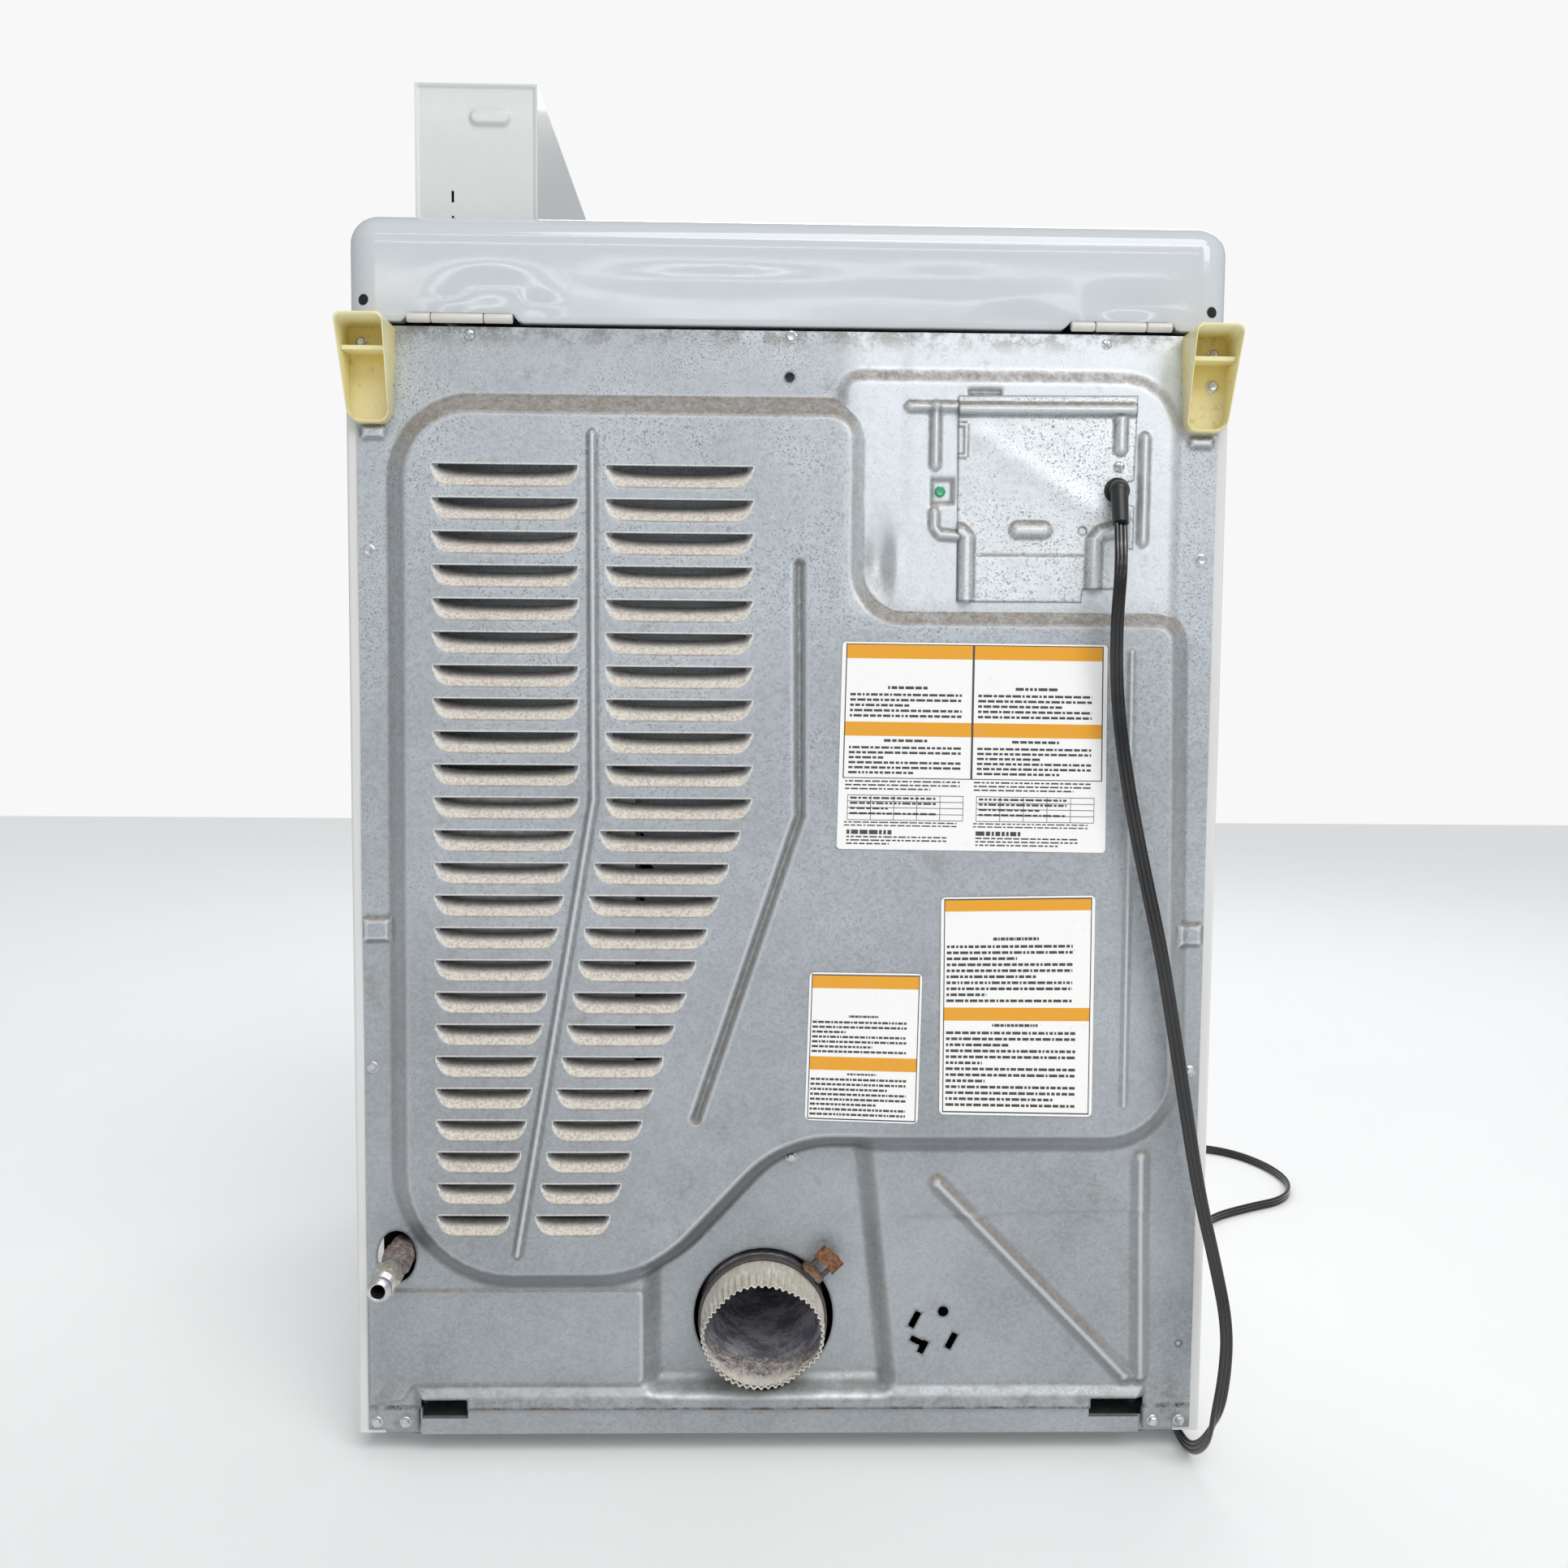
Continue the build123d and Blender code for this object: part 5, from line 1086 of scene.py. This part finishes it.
# ---------------------------------------------------------------- gas inlet
lint_rings = []
for y in np.linspace(310, 350, 26):
    ring = []
    for angle in turns(48):
        unevenness = float(lumps(3 * math.cos(angle) + y / 9, 3 * math.sin(angle) + y / 7))
        swell = 8.8 + (2.4 + 1.9 * unevenness) * float(soft((350 - y) / 12))
        ring.append((GAS_X + swell * math.cos(angle), y, GAS_Z + swell * math.sin(angle)))
    lint_rings.append(ring)
PINK_LINT, _ = fluffy("pipe_lint", 300, (0.13, 0.10, 0.09), (0.42, 0.36, 0.33), distance=0.002)
piece("pipe_lint", *tube(lint_rings), PINK_LINT, "cabinet", "gasket_felt")

NUT = plain_metal("dirty_nut", (0.55, 0.53, 0.46), 0.42, 0.6, 0.75, (0.25, 0.22, 0.15))
# depth, radius, and whether the section is a hexagon: the nut, the thread, then the flare and its bore
nut = ((362, 9.0, 0), (362.3, 10.6, 0), (363.6, 11.9, 1), (375.2, 11.9, 1), (376.6, 10.7, 0), (377, 9.2, 0))
thread = tuple((377.4 + 0.45 * k, 9.5 - 0.45 * (k % 2), 0) for k in range(20))
flare = ((386.8, 9.3, 0), (387.6, 9.5, 0), (390.6, 9.4, 0), (393.4, 7.2, 0), (394, 6.4, 0), (393.6, 5.6, 0))
fitting = nut + thread + flare + ((391.5, 5.2, 0), (366, 5.0, 0))
FITTING_SEGMENTS = 72
rings = []
for y, radius, hexed in fitting:
    ring = []
    for angle in turns(FITTING_SEGMENTS):
        r = radius * (hexagon(angle) * 1.075 if hexed else 1)
        ring.append((GAS_X + r * math.cos(angle), y, GAS_Z + r * math.sin(angle)))
    rings.append(ring)
fit_points, fit_faces = tube(rings)
fit_bands = [i // FITTING_SEGMENTS for i in range(len(fit_faces))]
fit_index = [1 if band < 5 else (2 if band >= len(fitting) - 3 else 0) for band in fit_bands]
fit_piece = sharpen(piece(
    "gas_flare", fit_points, fit_faces, (BRIGHT, NUT, HOLE), "cabinet", "bright_steel", material_index=fit_index,
), 30)
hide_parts("gas_fitting")

# ---------------------------------------------------------------- labels
PAPER = Paint("label_paper", Roughness=0.42, Coat_Weight=0.2, Coat_Roughness=0.2)
paper_wear = PAPER.patches(60, 5, 0.75, 0.58, 0.74)
PAPER.set("Base Color", PAPER.over((0.92, 0.915, 0.90), (0.60, 0.56, 0.50), paper_wear, 0.4))
AMBER = Paint("label_amber", Roughness=0.42)
amber_wear = AMBER.patches(80, 4, 0.7, 0.45, 0.75)
AMBER.set("Base Color", AMBER.over((0.80, 0.36, 0.020), (0.70, 0.38, 0.10), amber_wear, 0.35))
INK = Paint("label_ink", Roughness=0.5)
INK.set("Base Color", INK.mix(INK.noise(500, 2), (0.03, 0.03, 0.03), (0.10, 0.10, 0.10)))
ON_PAPER, ON_AMBER, ON_INK = 0, 1, 2              # material slots of a sticker
INK_RISE, AMBER_RISE = 0.10, 0.06                 # height above the paper, mm


class Label:
    """Plain sticker: a sheet with strips of colour and grey bars, laid on the pressed panel."""

    def __init__(self, corners, radius):
        self.corners = [np.array(c, float) for c in corners]
        self.points, self.faces, self.kinds = [], [], []
        self.sheet(radius)

    def place(self, u, v):
        """Position on the panel of the sticker's own 0 to 1 coordinates."""
        a, b, c, d = self.corners
        top, low = a + (b - a) * u, d + (c - d) * u
        return top + (low - top) * v

    def sheet(self, radius):
        """The paper, with rounded corners and divided in rings."""
        width = np.linalg.norm(self.corners[1] - self.corners[0])
        height = np.linalg.norm(self.corners[3] - self.corners[0])
        outline = rounded(((0, 0), (width, 0), (width, height), (0, height)), [radius] * 4, 5)
        rings = []
        for scale in (0.25, 0.5, 0.75, 1.0):
            ring = []
            for px, pz in outline:
                x, z = self.place(0.5 + (px / width - 0.5) * scale, 0.5 + (pz / height - 0.5) * scale)
                ring.append((x, 0.0, z))
            rings.append(ring)
        count = len(outline)
        self.points, faces = tube(rings)
        self.faces = [tuple(range(count))] + [(a, d, c, b) for a, b, c, d in faces]
        self.kinds = [ON_PAPER] * len(self.faces)

    def box(self, u0, u1, v0, v1, kind, out, parts=1):
        """Flat rectangle in the sticker's own 0 to 1 coordinates."""
        start = len(self.points)
        for part in range(parts + 1):
            u = u0 + (u1 - u0) * part / parts
            for v in (v0, v1):
                x, z = self.place(u, v)
                self.points.append((x, out, z))
        for part in range(parts):
            a = start + 2 * part
            self.faces.append((a, a + 2, a + 3, a + 1))
            self.kinds.append(kind)

    def frame(self, u0, u1, v0, v1, line=0.004):
        """Thin line around a rectangle."""
        for box in ((u0, u1, v0, v0 + line), (u0, u1, v1 - line, v1), (u0, u0 + line, v0, v1), (u1 - line, u1, v0, v1)):
            self.box(*box, ON_INK, INK_RISE, 4)

    def bars(self, u0, u1, v0, v1, rows, weight=0.42, fill=0.93):
        """Rows of broken bars in place of print."""
        pitch = (v1 - v0) / rows
        wide = u1 - u0 > 0.5
        for row in range(rows):
            u = u0
            end = u0 + (u1 - u0) * (fill if row % 3 != 2 else random.uniform(0.25, 0.8))
            while u < end:
                word = random.uniform(0.012, 0.055) * (1 if wide else 0.62)
                top = v0 + pitch * row
                self.box(u, min(u + word, end), top, top + pitch * weight, ON_INK, INK_RISE)
                u += word + 0.009 * (1 if wide else 0.6)

    def table(self, u0, u1, v0, v1, columns, rows):
        """Ruled lines across and down."""
        for k in range(rows + 1):
            v = v0 + (v1 - v0) * k / rows
            self.box(u0, u1, v, v + 0.003, ON_INK, INK_RISE)
        for k in range(columns + 1):
            u = u0 + (u1 - u0) * k / columns
            self.box(u, u + 0.002, v0, v1, ON_INK, INK_RISE)

    def band(self, u0, u1, v0, v1):
        """Plain strip of colour."""
        self.box(u0, u1, v0, v1, ON_AMBER, AMBER_RISE, 6)

    def build(self, name):
        """Lays the sticker flat on the best plane through the panel under it."""
        x, out, z = np.array(self.points, float).T
        height = panel_height(x[None], z[None])[0]
        fit = np.stack([x, z, np.ones(len(x))], axis=1)
        flat = fit @ np.linalg.lstsq(fit, height, rcond=None)[0]
        base = flat + float(np.max(height - flat)) + REAR + 0.15
        points = np.stack([x, base + out, z], axis=1)
        piece(name, points, self.faces, (PAPER, AMBER, INK), "cabinet", None, smooth=False, material_index=self.kinds)


big = Label(((-42, 662), (-249, 661), (-251, 498), (-39, 500)), 3.0)
for u0, u1 in ((0.015, 0.495), (0.495, 0.985)):
    big.band(u0, u1, 0.008, 0.078)
    big.band(u0, u1, 0.382, 0.45)
    big.frame(u0, u1, 0.008, 0.655)
    big.bars(u0 + 0.16, u1 - 0.16, 0.21, 0.235, 1, 0.55)
    big.bars(u0 + 0.02, u1 - 0.01, 0.245, 0.372, 5, 0.46)
    big.bars(u0 + 0.15, u1 - 0.15, 0.465, 0.49, 1, 0.5)
    big.bars(u0 + 0.02, u1 - 0.01, 0.50, 0.645, 6, 0.46)
    big.bars(u0 + 0.01, u1 - 0.01, 0.665, 0.72, 3, 0.4)
    big.table(u0 + 0.02, u1 - 0.03, 0.735, 0.855, 5, 4)
    big.bars(u0 + 0.03, u1 - 0.05, 0.745, 0.845, 4, 0.4, 0.8)
    big.bars(u0 + 0.01, u1 - 0.02, 0.865, 0.895, 2, 0.4)
    big.bars(u0 + 0.02, u0 + 0.2, 0.905, 0.935, 1, 0.7)
    big.bars(u0 + 0.02, u1 - 0.06, 0.935, 0.985, 3, 0.42)
big.build("label_large")

SMALLER_LABELS = (
    ("label_medium", ((-122, 462), (-244, 464), (-245, 286), (-123, 288)), ((0.008, 0.065), (0.505, 0.565)), 0.006,
     ((0.34, 0.66, 0.185, 0.21, 1, 0.55), (0.04, 0.95, 0.22, 0.495, 10, 0.45, 0.9),
      (0.34, 0.66, 0.58, 0.605, 1, 0.5), (0.04, 0.96, 0.615, 0.975, 13, 0.45, 0.92))),
    ("label_small", ((-19, 402), (-108, 401), (-106, 280), (-16, 283)), ((0.012, 0.105), (0.565, 0.655)), 0.008,
     ((0.36, 0.64, 0.285, 0.315, 1, 0.5), (0.04, 0.95, 0.325, 0.555, 7, 0.45, 0.92),
      (0.36, 0.64, 0.675, 0.70, 1, 0.5), (0.04, 0.96, 0.71, 0.98, 8, 0.45, 0.92))),
)
for name, corners, strips, line, blocks in SMALLER_LABELS:
    label = Label(corners, 4.0)
    for v0, v1 in strips:
        label.band(0.02, 0.98, v0, v1)
    for block in blocks:
        label.bars(*block)
    label.frame(0.02, 0.98, strips[0][0], 0.99, line)
    label.build(name)

# ---------------------------------------------------------------- floor, light and world
floor = bpy.data.meshes.new("floor")
floor.from_pydata([(-6, -5, 0), (6, -5, 0), (6, 6, 0), (-6, 6, 0)], [], [(0, 1, 2, 3)])
floor_paint = Paint("pale_floor", Roughness=0.7)
floor_paint.set("Base Color", floor_paint.mix(floor_paint.noise(3, 3), (0.88, 0.88, 0.88), (0.85, 0.85, 0.85)))
floor_paint.set("Emission Color", (1.0, 1.0, 1.0))
floor_paint.set("Emission Strength", 0.10)
floor.materials.append(floor_paint.material)
floor_piece = bpy.data.objects.new("floor", floor)
bpy.context.scene.collection.objects.link(floor_piece)

world = bpy.data.worlds.new("studio")
bpy.context.scene.world = world
world.use_nodes = True
tree = world.node_tree
ambient = tree.nodes["Background"]
ambient.inputs["Color"].default_value = (0.93, 0.96, 1.0, 1)
ambient.inputs["Strength"].default_value = 0.42
backdrop = tree.nodes.new("ShaderNodeBackground")
backdrop.inputs["Color"].default_value = (0.94, 0.94, 0.94, 1)
path = tree.nodes.new("ShaderNodeLightPath")
choose = tree.nodes.new("ShaderNodeMixShader")
tree.links.new(path.outputs["Is Camera Ray"], choose.inputs[0])
tree.links.new(ambient.outputs[0], choose.inputs[1])
tree.links.new(backdrop.outputs[0], choose.inputs[2])
tree.links.new(choose.outputs[0], tree.nodes["World Output"].inputs["Surface"])
bpy.context.scene.view_settings.view_transform = "Standard"


def lamp(name, place, target, size, power):
    """Rectangular area light that faces a target."""
    data = bpy.data.lights.new(name, "AREA")
    data.shape = "RECTANGLE"
    data.size, data.size_y = size
    data.energy = power
    made = bpy.data.objects.new(name, data)
    bpy.context.scene.collection.objects.link(made)
    made.location = place
    made.rotation_mode = "QUATERNION"
    made.rotation_quaternion = (Vector(target) - Vector(place)).to_track_quat("-Z", "Y")


sun_data = bpy.data.lights.new("soft_sun", "SUN")
sun_data.energy = 1.35
sun_data.angle = math.radians(38)
sun_data.color = (1.0, 0.99, 0.97)
sun = bpy.data.objects.new("soft_sun", sun_data)
bpy.context.scene.collection.objects.link(sun)
sun.matrix_world = Vector((-0.25, 0.85, 1.0)).to_track_quat("Z", "Y").to_matrix().to_4x4()
BACK_TOP = (0, 0.3, 0.95)
for light in (
    ("tube_low", (0.55, 3.4, 1.52), BACK_TOP, (1.5, 0.018), 1.3),
    ("tube_next", (0.15, 3.4, 1.70), BACK_TOP, (2.6, 0.022), 1.7),
    ("tube_mid", (0.05, 3.3, 2.15), BACK_TOP, (2.6, 0.05), 2.6),
    ("tube_high", (-0.05, 2.6, 2.7), BACK_TOP, (2.6, 0.07), 5),
    ("corner_panel", (-1.5, 2.0, 1.9), (-0.2, 0.32, 0.75), (0.8, 0.8), 9),
    ("front_top", (-0.6, -2.2, 2.6), (0, 0, 0.5), (2.4, 1.2), 26),
):
    lamp(*light)
